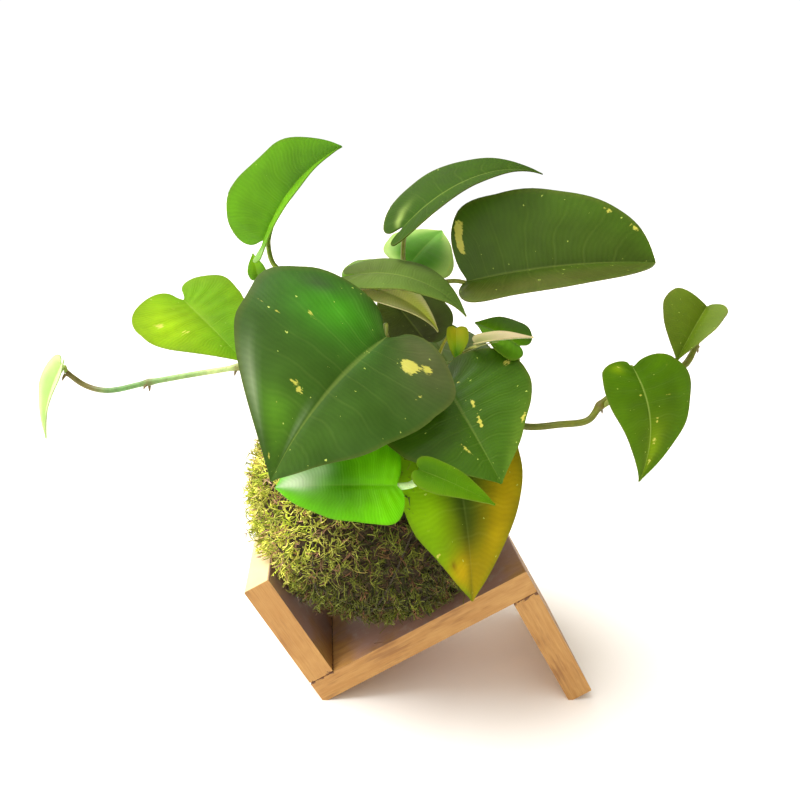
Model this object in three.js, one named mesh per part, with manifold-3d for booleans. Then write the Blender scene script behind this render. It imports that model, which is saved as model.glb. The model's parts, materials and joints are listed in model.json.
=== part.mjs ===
// Moss ball with a trailing vine plant, lying in the corner of a tilted wooden stand.
// Millimetres, +Z up, +X to the right along the stand, +Y to the back.
// The origin is on the ground, under the low edge of the seat board, mid depth.
import * as THREE from 'three';
import { mergeVertices } from 'three/addons/utils/BufferGeometryUtils.js';
import Module from 'manifold-3d';

const wasm = await Module();
wasm.setup();

// Clearance between pieces that touch
const gap = 0.3;

// Stand: three strips of planed board
const boardThickness = 12;
const boardDepth = 70;
const seatLength = 110;
const endHeight = 56;
const legLength = 64;
const tilt = Math.atan2(legLength, seatLength - boardThickness);
// The two bottom edges are planed flat by this much, so that the stand stands
const edgePlaned = 1;
const boardChamfer = 0.5;

// Pegs that hold the boards together
const pegDiameter = 6;
const pegLength = 19;
const pegSpacing = 40;

// Ball: distances of its middle from the lower faces of the seat and of the end board
const ballAlong = 66;
const ballUp = 66;
const mossRadius = 56.5;
const mossThickness = 8;
const mossLump = 1.2;
const neckRadius = 16.5;
const soilTopHeight = 45;

// Cord round the moss
const cordDiameter = 0.9;

// Plant
const stalkRadius = 1.1;
// How far up the midrib the stalk ends, as a share of the blade
const stalkEnd = 0.04;
const bladeThickness = 0.9;
const tipHalfWidth = 0.35;

const ball = new THREE.Vector3(
  ballAlong * Math.cos(tilt) - ballUp * Math.sin(tilt),
  0,
  ballAlong * Math.sin(tilt) + ballUp * Math.cos(tilt) - edgePlaned,
);

// Vines: where each one runs, and its thickness. The first point is in the soil
const vines = {
  vine_front: {
    radius: 1.8,
    path: [[20, -10, 126], [19, -11, 148], [19, -15, 160], [22, -23, 166],
      [29, -31, 160], [34, -41, 146], [33, -51, 130], [30, -56, 121]],
  },
  vine_middle: {
    radius: 1.6,
    path: [[10, -6, 126], [9, -8, 146], [6, -13, 160], [3, -18, 170]],
  },
  vine_left: {
    radius: 1.6,
    path: [[9, 3, 126], [7, 3, 146], [-4, -2, 155], [-22, -14, 156], [-43, -22, 152],
      [-60, -22, 148], [-78, -20, 143], [-95, -18, 138], [-104, -16, 139], [-111, -16, 144]],
  },
  vine_upper: {
    radius: 1.6,
    path: [[12, 10, 126], [10, 10, 148], [3, 8, 164], [-8, 6, 178], [-17, 4, 184]],
  },
  vine_top: {
    radius: 1.8,
    path: [[22, 10, 126], [23, 11, 150], [25, 9, 172], [27, 7, 186]],
  },
  vine_back: {
    radius: 1.7,
    path: [[27, 8, 126], [28, 11, 148], [32, 20, 160], [32, 36, 158], [30, 46, 148]],
  },
  vine_right: {
    radius: 1.6,
    path: [[30, -3, 126], [33, -4, 146], [40, -8, 153], [54, -14, 148], [67, -18, 136],
      [80, -20, 132], [94, -24, 135], [106, -25, 138], [111, -24, 145], [122, -22, 154],
      [137, -20, 160], [148, -18, 163], [153, -16, 172]],
  },
};

// Leaves. base: where the stalk meets the blade. tip: the point. face: where the upper side looks.
// right, left: half widths seen from the upper side with the tip up. lobe: how far the two lobes
// reach back, as a share of the length. fold, cup, bend, curl: angles in degrees of the fold along
// the midrib, of the round across each half, and of the arch of the midrib, even and at the tip.
// bow: how far the midrib runs aside. wave: height of the wavy margin.
const leaves = {
  leaf_01: {
    base: [-35, -4, 201], tip: [-6, -8, 240], face: [-0.6, -0.8, 0.6], right: 24, left: 20,
    lobe: 0.12, fold: 42, cup: 10, bend: 20, bow: -5,
    vine: 'vine_upper', stalk: [[-12, 5, 180], [-21, -3, 186], [-31, -5, 192]],
  },
  leaf_02: {
    base: [-71, 16, 171], tip: [-42, -8, 151], face: [0.2, -0.7, 0.7], right: 26, left: 23,
    lobe: 0.22, fold: 8, cup: 10, bend: 10,
    vine: 'vine_upper', stalk: [[-4, 7, 174], [-28, 18, 164], [-52, 23, 160], [-66, 20, 167]],
  },
  leaf_03: {
    base: [14, -44, 173], tip: [-25, -76, 127], face: [0.05, -1, 0.5], right: 48, left: 36,
    lobe: 0.14, fold: 8, cup: 18, bend: 10, curl: 10, bow: 4, wave: 1,
    vine: 'vine_front', stalk: [[19, -15, 160], [15, -28, 172], [14, -38, 176]],
  },
  leaf_04: {
    base: [39, -38, 155], tip: [60, -64, 124], face: [-0.1, -0.74, 0.67], right: 32, left: 33,
    lobe: 0.18, fold: 5, cup: 15, bend: 15,
    vine: 'vine_front', stalk: [[27, -28, 163], [33, -32, 166], [37, -36, 162]],
  },
  leaf_05: {
    base: [42, -38, 137], tip: [56, -60, 70], face: [0.15, -1, 0.3], right: 28, left: 28,
    lobe: 0.12, fold: 8, cup: 25, bend: 45,
    vine: 'vine_front', stalk: [[31, -34, 155], [36, -34, 148]],
  },
  leaf_06: {
    base: [21, -60, 120], tip: [-24, -64, 119], face: [0, -1, 0.9], right: 24, left: 15,
    lobe: 0.12, fold: 5, cup: 25, bend: 20,
    vine: 'vine_front', stalk: [[30, -56, 121], [26, -61, 117]],
  },
  leaf_07: {
    base: [27, -70, 131], tip: [55, -76, 121], face: [0.1, -0.8, 1], right: 7, left: 7,
    lobe: 0.05, fold: 25, cup: 50, bend: 20, small: true,
    vine: 'vine_front', stalk: [[32, -53, 127], [31, -62, 126]],
  },
  leaf_08: {
    base: [2, -17, 192], tip: [47, -28, 180], face: [0, -0.3, 1], right: 14, left: 23,
    lobe: 0.15, fold: 5, cup: 20, bend: 60, curl: 10,
    vine: 'vine_middle', stalk: [[3, -18, 170], [-1, -19, 181]],
  },
  leaf_09: {
    base: [3, -9, 186], tip: [38, -18, 171], face: [0.2, -0.6, 1], right: 11, left: 10,
    lobe: 0.05, fold: 20, cup: 20, bend: 50, curl: 20, small: true,
    vine: 'vine_middle', stalk: [[7, -12, 158], [6, -8, 176]],
  },
  leaf_10: {
    base: [21, -4, 211], tip: [77, -4, 237], face: [-0.35, -0.35, 1], right: 12, left: 25,
    lobe: 0.12, fold: 8, cup: 10, bend: 50, curl: 20,
    vine: 'vine_top', stalk: [[27, 7, 186], [23, 2, 198]],
  },
  leaf_11: {
    base: [28, 10, 196], tip: [43, 28, 209], face: [0, -0.7, 1], right: 17, left: 17,
    lobe: 0.15, fold: 5, cup: 20, bend: 20, small: true,
    vine: 'vine_top', stalk: [[26, 9, 176], [29, 12, 187]],
  },
  leaf_12: {
    base: [50, -6, 191], tip: [127, -16, 206], face: [0.05, -0.72, 0.7], right: 19, left: 34,
    lobe: 0.03, fold: 30, cup: 6, bend: 25,
    vine: 'vine_top', stalk: [[26, 8, 180], [38, 6, 187], [46, 0, 190]],
  },
  leaf_13: {
    base: [51, -32, 170], tip: [73, -36, 175], face: [0, -0.5, 1], right: 4, left: 4,
    lobe: 0.03, fold: 50, cup: 10, bend: 15, small: true,
    vine: 'vine_right', stalk: [[44, -10, 152], [49, -22, 164]],
  },
  leaf_14: {
    base: [71, -26, 169], tip: [53, -18, 176], face: [0, -0.4, 1], right: 16, left: 13,
    lobe: 0.15, fold: 10, cup: 20, bend: 20, small: true,
    vine: 'vine_right', stalk: [[58, -15, 146], [72, -20, 156]],
  },
  leaf_15: {
    base: [36, -4, 163], tip: [13, 0, 187], face: [0, -1, 0.5], right: 19, left: 19,
    lobe: 0.1, fold: 5, cup: 20, bend: 10,
    vine: 'vine_top', stalk: [[24, 10, 160], [31, 5, 166]],
  },
  leaf_16: {
    base: [-38, 8, 184], tip: [-41, 10, 194], face: [-0.2, -1, 0.4], right: 4, left: 4,
    lobe: 0.05, fold: 15, cup: 20, bend: 20, small: true,
    vine: 'vine_upper', stalk: [[-17, 4, 184], [-24, 9, 181], [-32, 10, 178]],
  },
  leaf_17: {
    base: [44, -24, 174], tip: [45, -27, 161], face: [0.2, -1, 0.4], right: 5, left: 5,
    lobe: 0.05, fold: 25, cup: 20, bend: 20, small: true,
    vine: 'vine_right', stalk: [[40, -8, 153], [41, -17, 166]],
  },
  leaf_18: {
    base: [119, -30, 164], tip: [130, -34, 114], face: [0.15, -1, 0.25], right: 17, left: 24,
    lobe: 0.06, fold: 8, cup: 20, bend: 15, bow: -6,
    vine: 'vine_right', stalk: [[111, -24, 144], [117.5, -27.5, 152]],
  },
  leaf_19: {
    base: [155, -14, 189], tip: [142, -22, 166], face: [-0.6, -0.8, 0.6], right: 17, left: 11,
    lobe: 0.03, fold: 38, cup: 20, bend: 20, small: true,
    vine: 'vine_right', stalk: [[153, -16, 172], [154.5, -14.5, 180]],
  },
  leaf_20: {
    base: [-113, -16, 147], tip: [-120, -18, 116], face: [-0.8, -0.6, 0.2], right: 8, left: 8,
    lobe: 0.1, fold: 25, cup: 20, bend: 20, bow: 2, small: true,
    vine: 'vine_left', stalk: [[-111, -16, 144]],
  },
  leaf_21: {
    base: [1, 5, 186], tip: [15, 7, 196], face: [0, -0.8, 1], right: 7, left: 7,
    lobe: 0.1, fold: 15, cup: 30, bend: 20, small: true,
    vine: 'vine_middle', stalk: [[9, -8, 148], [2, 2, 172]],
  },
  leaf_22: {
    base: [8, 44, 158], tip: [-8, 72, 108], face: [-0.3, 1, 0.5], right: 28, left: 28,
    lobe: 0.15, fold: 8, cup: 15, bend: 30,
    vine: 'vine_back', stalk: [[32, 34, 159], [20, 38, 166]],
  },
  leaf_23: {
    base: [38, 56, 154], tip: [50, 78, 100], face: [0.2, 1, 0.4], right: 30, left: 30,
    lobe: 0.15, fold: 6, cup: 15, bend: 30,
    vine: 'vine_back', stalk: [[30, 46, 148], [34, 54, 154]],
  },
  leaf_24: {
    base: [54, 30, 160], tip: [76, 46, 120], face: [0.8, 0.6, 0.7], right: 22, left: 22,
    lobe: 0.15, fold: 10, cup: 15, bend: 30,
    vine: 'vine_back', stalk: [[33, 24, 160], [44, 28, 164]],
  },
  leaf_25: {
    base: [-8, 34, 172], tip: [-36, 58, 150], face: [-0.5, 0.4, 1], right: 22, left: 22,
    lobe: 0.15, fold: 10, cup: 15, bend: 30,
    vine: 'vine_upper', stalk: [[3, 8, 164], [-2, 22, 174]],
  },
};

// Cord: directions from the middle of the ball that each loop passes over
const cordLoops = [
  [[-1, 0, 0.05], [-0.7, -0.7, -0.25], [0, -0.8, -0.6], [0.65, -0.6, -0.4],
    [1, 0, -0.2], [0.7, 0.7, -0.1], [0, 1, 0.1], [-0.7, 0.7, 0.1]],
  [[-0.2, 0, -1], [-0.05, -0.7, -0.7], [0.15, -1, 0], [0.35, -0.7, 0.65],
    [0.55, 0, 0.85], [0.4, 0.7, 0.65], [0.1, 1, 0], [-0.1, 0.7, -0.7]],
  [[-0.25, -0.1, -1], [-0.45, -0.75, -0.5], [-0.5, -0.85, 0.1], [-0.55, -0.5, 0.7],
    [-0.55, 0, 0.85], [-0.5, 0.6, 0.65], [-0.4, 0.9, 0], [-0.3, 0.7, -0.7]],
];

// Colours, roughness
const looks = {
  wood: [0xc99f68, 0.6],
  peg: [0xc4a071, 0.6],
  moss: [0x6f7a2a, 0.95],
  soil: [0x3b2a1d, 0.95],
  cord: [0x3a3322, 0.8],
  vine: [0x7d8a3e, 0.5],
  leaf: [0x3f7a24, 0.35],
};

// Turns a geometry into a solid that can be cut and joined
function solid(geometry) {
  const plain = geometry.clone();
  plain.deleteAttribute('normal');
  plain.deleteAttribute('uv');
  const merged = mergeVertices(plain, 1e-4);
  return new wasm.Manifold(new wasm.Mesh({
    numProp: 3,
    vertProperties: new Float32Array(merged.attributes.position.array),
    triVerts: new Uint32Array(merged.index.array),
  }));
}

// Turns a solid back into a named mesh with its material
function meshOf(name, body, look) {
  const data = body.getMesh();
  const geometry = new THREE.BufferGeometry();
  geometry.setAttribute('position', new THREE.BufferAttribute(new Float32Array(data.vertProperties), 3));
  geometry.setIndex(new THREE.BufferAttribute(new Uint32Array(data.triVerts), 1));
  geometry.computeVertexNormals();
  const [color, roughness] = looks[look];
  const mesh = new THREE.Mesh(geometry, new THREE.MeshStandardMaterial({ color, roughness, metalness: 0 }));
  mesh.name = name;
  return mesh;
}

function vector(list) {
  return new THREE.Vector3(...list);
}

// Box given along and up the tilted seat board, and front to back
function tiltedBox(along, up, depth, grow = 0) {
  const size = [along, depth, up].map(([low, high]) => high - low + 2 * grow);
  const middle = [along, depth, up].map(([low, high]) => (low + high) / 2);
  const geometry = new THREE.BoxGeometry(...size);
  geometry.translate(...middle);
  geometry.rotateY(-tilt);
  geometry.translate(0, 0, -edgePlaned);
  return geometry;
}

// Board of the stand, with its long edges broken by a small chamfer
function boardGeometry(along, up) {
  const [low, high] = along;
  const [bottom, top] = up;
  const c = boardChamfer;
  const outline = new THREE.Shape([
    [low + c, bottom], [high - c, bottom], [high, bottom + c], [high, top - c],
    [high - c, top], [low + c, top], [low, top - c], [low, bottom + c],
  ].map(([x, y]) => new THREE.Vector2(x, y)));
  const geometry = new THREE.ExtrudeGeometry(outline, { depth: boardDepth, bevelEnabled: false });
  geometry.rotateX(Math.PI / 2);
  geometry.translate(0, boardDepth / 2, 0);
  geometry.rotateY(-tilt);
  geometry.translate(0, 0, -edgePlaned);
  return geometry;
}

// Peg that crosses the joint face at the given height above the seat's lower face
function pegGeometry(along, joint, y, clearance) {
  const length = pegLength + 2 * clearance;
  const geometry = new THREE.CylinderGeometry(
    pegDiameter / 2 + clearance, pegDiameter / 2 + clearance, length, 16);
  geometry.rotateX(Math.PI / 2);
  geometry.translate(along, y, joint);
  geometry.rotateY(-tilt);
  geometry.translate(0, 0, -edgePlaned);
  return geometry;
}

// Everything below the ground, to plane the bottom edges flat
function ground() {
  const geometry = new THREE.BoxGeometry(400, 200, 40);
  geometry.translate(60, 0, -20);
  return solid(geometry);
}

const pegPlaces = [
  { name: 'peg_end', along: boardThickness / 2, joint: boardThickness + 1 },
  { name: 'peg_leg', along: seatLength - boardThickness / 2, joint: -1 },
].flatMap((place) => [-1, 1].map((side) => ({
  ...place,
  name: `${place.name}_${side < 0 ? 'front' : 'back'}`,
  y: side * pegSpacing / 2,
})));

function drillPegs(board) {
  return pegPlaces.reduce(
    (body, peg) => body.subtract(solid(pegGeometry(peg.along, peg.joint, peg.y, gap))), board);
}

function seatBoard() {
  const board = solid(boardGeometry([0, seatLength], [0, boardThickness]));
  return drillPegs(board.subtract(ground()));
}

function endBoard() {
  const low = boardThickness + gap;
  return drillPegs(solid(boardGeometry([0, boardThickness], [low, boardThickness + endHeight])));
}

function legBoard() {
  const board = solid(boardGeometry([seatLength - boardThickness, seatLength], [-legLength, -gap]));
  return drillPegs(board.subtract(ground()));
}

// Distance from the ball's middle to its surface in a direction, lumpy as packed moss is
function mossReach(direction) {
  const { x, y, z } = direction;
  const lumps = Math.sin(5 * x + 2 * z + 1) * Math.cos(4 * y - 3 * z) + 0.6 * Math.sin(7 * y + 6 * z * x);
  return mossRadius + mossLump * lumps * 0.6;
}

function lumpySphere(widthSegments, heightSegments) {
  const geometry = new THREE.SphereGeometry(1, widthSegments, heightSegments);
  geometry.rotateX(Math.PI / 2);
  const place = geometry.attributes.position;
  for (let i = 0; i < place.count; i += 1) {
    const direction = new THREE.Vector3().fromBufferAttribute(place, i).normalize();
    const point = direction.clone().multiplyScalar(mossReach(direction)).add(ball);
    place.setXYZ(i, point.x, point.y, point.z);
  }
  return geometry;
}

function plainSphere(radius) {
  const geometry = new THREE.SphereGeometry(radius, 20, 12);
  geometry.rotateX(Math.PI / 2);
  geometry.translate(ball.x, ball.y, ball.z);
  return geometry;
}

function neckCylinder(radius) {
  const geometry = new THREE.CylinderGeometry(radius, radius, 60, 24);
  geometry.rotateX(Math.PI / 2);
  geometry.translate(ball.x, ball.y, ball.z + 60);
  return geometry;
}

// Moss cover: a lumpy shell, pressed flat on the two boards and open at the neck
function mossCover() {
  const deep = [-boardDepth, boardDepth];
  const seat = tiltedBox([-20, 200], [-40, boardThickness], deep, gap);
  const end = tiltedBox([-40, boardThickness], [-20, 200], deep, gap);
  return solid(lumpySphere(24, 16))
    .subtract(solid(plainSphere(mossRadius - mossThickness)))
    .subtract(solid(neckCylinder(neckRadius)))
    .subtract(solid(seat))
    .subtract(solid(end));
}

// Soil: a ball cut flat under the neck, with a plain hole for each vine
function soilCore() {
  const above = new THREE.BoxGeometry(120, 120, 60);
  above.translate(ball.x, ball.y, ball.z + soilTopHeight + 30);
  const body = solid(plainSphere(mossRadius - mossThickness - 2 * gap)).subtract(solid(above));
  return Object.values(vines).reduce(
    (soil, vine) => soil.subtract(vineSolid(vine, gap)), body);
}

// Round section with a few flats
function roundSection(radius, sides) {
  const points = [];
  for (let i = 0; i < sides; i += 1) {
    const angle = (2 * Math.PI * i) / sides;
    points.push(new THREE.Vector2(radius * Math.cos(angle), radius * Math.sin(angle)));
  }
  return new THREE.Shape(points);
}

function tube(points, radius, sides, steps) {
  const curve = new THREE.CatmullRomCurve3(points);
  return new THREE.ExtrudeGeometry(roundSection(radius, sides), { steps, extrudePath: curve, bevelEnabled: false });
}

// Vine, or with a clearance the room that it needs
function vineSolid(vine, clearance = 0) {
  const points = vine.path.map(vector);
  const steps = 2 * points.length + 4;
  return solid(tube(points, vine.radius + clearance, 6, steps));
}

// Cord: loops that lie on the moss, each drawn as two half rounds that overlap a little
function cordSolid() {
  const halves = cordLoops.flatMap((loop) => {
    const count = loop.length;
    return [0, 1].map((part) => {
      const directions = [];
      for (let i = 0; i <= count / 2; i += 1) directions.push(vector(loop[(i + part * count / 2) % count]));
      return directions;
    });
  });
  return halves
    .map((directions, i) => solid(tube(cordPoints(directions, i), cordDiameter / 2, 4, 16)))
    .reduce((all, half) => all.add(half));
}

function cordPoints(directions, index) {
  const loop = cordLoops[Math.floor(index / 2)].map(vector).map((d) => d.normalize());
  const round = new THREE.CatmullRomCurve3(loop, true);
  const start = (index % 2) * 0.5;
  const points = [];
  const steps = 16;
  for (let i = 0; i <= steps; i += 1) {
    const share = start + 0.5 * THREE.MathUtils.lerp(-0.01, 1.01, i / steps);
    const direction = round.getPoint((share + 1) % 1).normalize();
    const reach = mossReach(direction) + cordDiameter / 2 + 1.5 * gap;
    points.push(direction.multiplyScalar(reach).add(ball));
  }
  return points;
}

// Half outline of a heart-shaped blade: half a unit wide, one unit long
function outlinePoint(t, lobe) {
  const widest = 0.45;
  const low = t < widest;
  const curve = low
    ? [[0.07, -lobe], [0.26, -1.4 * lobe], [0.5, -0.06], [0.5, 0.2]]
    : [[0.5, 0.2], [0.5, 0.5], [0.17, 0.8], [0, 1]];
  const points = curve.map(([x, y]) => new THREE.Vector2(x, y));
  return new THREE.CubicBezierCurve(...points).getPoint(low ? t / widest : (t - widest) / (1 - widest));
}

// Arch of the midrib, one unit long: place and slope at even steps
function midribArch(leaf) {
  const steps = 40;
  const bend = THREE.MathUtils.degToRad(leaf.bend ?? 0);
  const curl = THREE.MathUtils.degToRad(leaf.curl ?? 0);
  const slope = (share) => bend * share + curl * share ** 3;
  const arch = [[0, 0]];
  for (let i = 0; i < steps; i += 1) {
    const angle = slope((i + 0.5) / steps);
    const [along, up] = arch[i];
    arch.push([along + Math.cos(angle) / steps, up - Math.sin(angle) / steps]);
  }
  return { arch, slope, steps };
}

function archPoint({ arch, steps }, share) {
  const place = THREE.MathUtils.clamp(share, 0, 1) * steps;
  const low = Math.min(Math.floor(place), steps - 1);
  const mix = place - low;
  return [0, 1].map((i) => arch[low][i] * (1 - mix) + arch[low + 1][i] * mix);
}

// Point on a blade's upper side: s from -1 to 1 across, t from 0 at the stalk to 1 at the tip
function bladeMap(leaf) {
  const base = vector(leaf.base);
  const chord = vector(leaf.tip).sub(base);
  const ey = chord.clone().normalize();
  const ez = vector(leaf.face).addScaledVector(ey, -vector(leaf.face).dot(ey)).normalize();
  const ex = new THREE.Vector3().crossVectors(ey, ez);
  const rib = midribArch(leaf);
  const [endAlong, endUp] = rib.arch[rib.steps];
  const length = chord.length() / Math.hypot(endAlong, endUp);
  const lean = Math.atan2(endUp, endAlong);
  const fold = THREE.MathUtils.degToRad(leaf.fold);
  const cup = Math.max(THREE.MathUtils.degToRad(leaf.cup), 0.001);
  const mean = (leaf.right + leaf.left) / 2;

  return (s, t) => {
    const across = Math.abs(s);
    const side = Math.sign(s);
    const edge = outlinePoint(t, leaf.lobe);
    const half = side > 0 ? leaf.right : leaf.left;
    const reach = Math.max(2 * half * edge.x, tipHalfWidth) * across;
    const rise = t ** 1.8;
    const along = rise + (edge.y - rise) * across ** 1.5;
    const share = THREE.MathUtils.clamp(along, 0, 1);
    const turn = fold - (cup * reach) / mean;
    const out = (mean / cup) * (Math.sin(fold) - Math.sin(turn)) * side
      + (leaf.bow ?? 0) * 4 * share * (1 - share);
    const wave = (leaf.wave ?? 0) * Math.sin(5 * Math.PI * along + side * 0.8) * across ** 2
      * (1 - share ** 4);
    const up = (mean / cup) * (Math.cos(turn) - Math.cos(fold)) + wave;
    const [ribAlong, ribUp] = archPoint(rib, along);
    const slope = rib.slope(share);
    const y = (ribAlong + Math.min(along, 0)) * length + up * Math.sin(slope);
    const z = ribUp * length + up * Math.cos(slope);
    return base.clone()
      .addScaledVector(ex, out)
      .addScaledVector(ey, y * Math.cos(lean) + z * Math.sin(lean))
      .addScaledVector(ez, z * Math.cos(lean) - y * Math.sin(lean));
  };
}

// Direction the blade's upper side looks at a point, taken a little inside its narrow ends
function bladeNormal(map, s, t) {
  const step = 0.02;
  const inside = THREE.MathUtils.clamp(t, 0.08, 0.88);
  const acrossStep = map(Math.min(s + step, 1), inside).sub(map(Math.max(s - step, -1), inside));
  const alongStep = map(s, inside + step).sub(map(s, inside - step));
  return acrossStep.cross(alongStep).normalize();
}

// Blade: an upper and a lower sheet with the same triangles, closed along the margin
function bladeGeometry(leaf) {
  const across = leaf.small ? 4 : 6;
  const along = leaf.small ? 5 : 7;
  const map = bladeMap(leaf);
  const positions = [];
  const index = [];
  const row = across + 1;
  const layer = row * (along + 1);
  for (const depth of [0, bladeThickness]) {
    for (let j = 0; j <= along; j += 1) {
      for (let i = 0; i <= across; i += 1) {
        const s = (2 * i) / across - 1;
        const t = j / along;
        const point = map(s, t).addScaledVector(bladeNormal(map, s, t), -depth);
        positions.push(point.x, point.y, point.z);
      }
    }
  }
  const quad = (a, b, c, d) => index.push(a, b, c, a, c, d);
  for (let j = 0; j < along; j += 1) {
    for (let i = 0; i < across; i += 1) {
      const a = j * row + i;
      quad(a, a + 1, a + row + 1, a + row);
      index.push(a + layer, a + layer + row + 1, a + layer + 1);
      index.push(a + layer, a + layer + row, a + layer + row + 1);
    }
  }
  const rim = [];
  for (let i = 0; i < across; i += 1) rim.push(i);
  for (let j = 0; j < along; j += 1) rim.push(j * row + across);
  for (let i = across; i > 0; i -= 1) rim.push(along * row + i);
  for (let j = along; j > 0; j -= 1) rim.push(j * row);
  rim.forEach((from, k) => {
    const to = rim[(k + 1) % rim.length];
    quad(from, from + layer, to + layer, to);
  });
  const geometry = new THREE.BufferGeometry();
  geometry.setAttribute('position', new THREE.Float32BufferAttribute(positions, 3));
  geometry.setIndex(index);
  return geometry;
}

// Stalk: from its vine into the lower side of the blade
function stalkGeometry(leaf) {
  const map = bladeMap(leaf);
  const radius = leaf.small ? stalkRadius * 0.7 : stalkRadius;
  const end = map(0, stalkEnd).addScaledVector(bladeNormal(map, 0, stalkEnd), -0.6 * bladeThickness);
  const points = [...leaf.stalk.map(vector), end];
  return tube(points, radius, 5, 3 + 2 * leaf.stalk.length);
}

// Leaf: blade and stalk in one piece, cut clear of its vine
function leafSolid(leaf) {
  const whole = solid(bladeGeometry(leaf)).add(solid(stalkGeometry(leaf)));
  const free = whole.subtract(vineSolid(vines[leaf.vine], gap));
  const pieces = free.decompose();
  return pieces.reduce((largest, piece) => (piece.volume() > largest.volume() ? piece : largest));
}

function stand() {
  const group = new THREE.Group();
  group.add(meshOf('seat_board', seatBoard(), 'wood'));
  group.add(meshOf('end_board', endBoard(), 'wood'));
  group.add(meshOf('leg_board', legBoard(), 'wood'));
  for (const peg of pegPlaces) {
    group.add(meshOf(peg.name, solid(pegGeometry(peg.along, peg.joint, peg.y, 0)), 'peg'));
  }
  return group;
}

function mossBall() {
  const group = new THREE.Group();
  group.add(meshOf('moss_cover', mossCover(), 'moss'));
  group.add(meshOf('soil_core', soilCore(), 'soil'));
  group.add(meshOf('binding_cord', cordSolid(), 'cord'));
  return group;
}

function plant() {
  const group = new THREE.Group();
  for (const [name, vine] of Object.entries(vines)) {
    group.add(meshOf(name, vineSolid(vine), 'vine'));
  }
  for (const [name, leaf] of Object.entries(leaves)) {
    group.add(meshOf(name, leafSolid(leaf), 'leaf'));
  }
  return group;
}

const part = new THREE.Group();
part.add(stand(), mossBall(), plant());

export default part;
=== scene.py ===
# Moss ball plant on a tilted wooden stand: the finish of its surfaces, the moss, the leaves and the stems.
# Metres, +Z up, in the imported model's frame. Sizes and places in the dictionaries are millimetres.
import json
import math
import random

import bmesh
import bpy
import numpy as np
from mathutils import Matrix, Vector, noise

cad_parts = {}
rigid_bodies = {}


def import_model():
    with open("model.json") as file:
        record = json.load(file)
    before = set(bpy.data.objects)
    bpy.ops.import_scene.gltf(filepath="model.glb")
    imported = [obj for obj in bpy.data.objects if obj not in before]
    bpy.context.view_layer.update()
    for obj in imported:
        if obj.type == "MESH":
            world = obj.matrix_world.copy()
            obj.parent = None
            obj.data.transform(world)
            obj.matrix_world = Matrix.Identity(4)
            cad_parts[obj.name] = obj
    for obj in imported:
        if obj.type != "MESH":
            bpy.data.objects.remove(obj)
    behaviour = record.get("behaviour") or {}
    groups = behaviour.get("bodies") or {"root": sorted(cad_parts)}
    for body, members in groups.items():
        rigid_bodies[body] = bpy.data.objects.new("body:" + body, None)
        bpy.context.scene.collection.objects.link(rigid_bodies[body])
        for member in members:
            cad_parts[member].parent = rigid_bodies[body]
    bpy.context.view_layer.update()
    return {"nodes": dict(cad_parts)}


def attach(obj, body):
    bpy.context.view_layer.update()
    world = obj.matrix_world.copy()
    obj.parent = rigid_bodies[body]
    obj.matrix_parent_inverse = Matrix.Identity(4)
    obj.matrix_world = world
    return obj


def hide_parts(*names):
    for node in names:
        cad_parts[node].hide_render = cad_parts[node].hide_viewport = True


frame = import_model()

mm = 0.001

# The stand's tilt, and the ball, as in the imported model
stand = {"tilt": math.atan2(64, 98), "thickness": 12, "endTop": 68, "planed": 1}
ball = {"along": 66, "up": 66, "radius": 56.5, "lump": 0.72, "neck": 16.5}
tiltCos, tiltSin = math.cos(stand["tilt"]), math.sin(stand["tilt"])


# The model's x and z, for places along the seat and up from its underside, and the other way round
def fromStand(along, up):
    return along * tiltCos - up * tiltSin, along * tiltSin + up * tiltCos - stand["planed"]


def toStand(x, z):
    return x * tiltCos + (z + stand["planed"]) * tiltSin, (z + stand["planed"]) * tiltCos - x * tiltSin


def standPoint(along, back, up):
    x, z = fromStand(along, up)
    return Vector((x, back, z))


ballCentre = standPoint(ball["along"], 0, ball["up"])


# sRGB hex to the linear colour that a shader takes
def linear(hexText):
    values = [int(hexText[i:i + 2], 16) / 255 for i in (0, 2, 4)]
    return [v / 12.92 if v <= 0.04045 else ((v + 0.055) / 1.055) ** 2.4 for v in values] + [1.0]


# Adds a node with its settings and inputs, and returns one of its outputs, if it has any. The value of an
# input may be another node's output
def node(tree, kind, inputs=None, out=0, **settings):
    new = tree.nodes.new(kind)
    for name, value in settings.items():
        setattr(new, name, value)
    for name, value in (inputs or {}).items():
        if isinstance(value, bpy.types.NodeSocket):
            tree.links.new(value, new.inputs[name])
        else:
            new.inputs[name].default_value = value
    return new.outputs[out] if len(new.outputs) else new


# Settings of a mix node that mixes colours
inColour = {"out": 2, "data_type": "RGBA"}


# Sets the colour stops of a ramp: (place, hex) pairs
def setStops(rampOutput, stops):
    ramp = rampOutput.node.color_ramp
    while len(ramp.elements) < len(stops):
        ramp.elements.new(0.5)
    for element, (place, hexText) in zip(ramp.elements, stops):
        element.position = place
        element.color = linear(hexText)


# New material with one Principled shader whose fixed sockets are given
def newMaterial(name, **sockets):
    material = bpy.data.materials.new(name)
    material.use_nodes = True
    tree = material.node_tree
    tree.nodes.clear()
    shader = node(tree, "ShaderNodeBsdfPrincipled")
    for key, value in sockets.items():
        shader.node.inputs[key.replace("_", " ")].default_value = value
    node(tree, "ShaderNodeOutputMaterial", {"Surface": shader})
    return material, tree, shader.node


# Gives a material its colour, and relief where a height says so. depth is in millimetres
def surface(tree, shader, colour, height, strength, depth):
    relief = node(tree, "ShaderNodeBump", {"Height": height, "Strength": strength, "Distance": depth * mm})
    tree.links.new(colour, shader.inputs["Base Color"])
    tree.links.new(relief, shader.inputs["Normal"])


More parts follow.
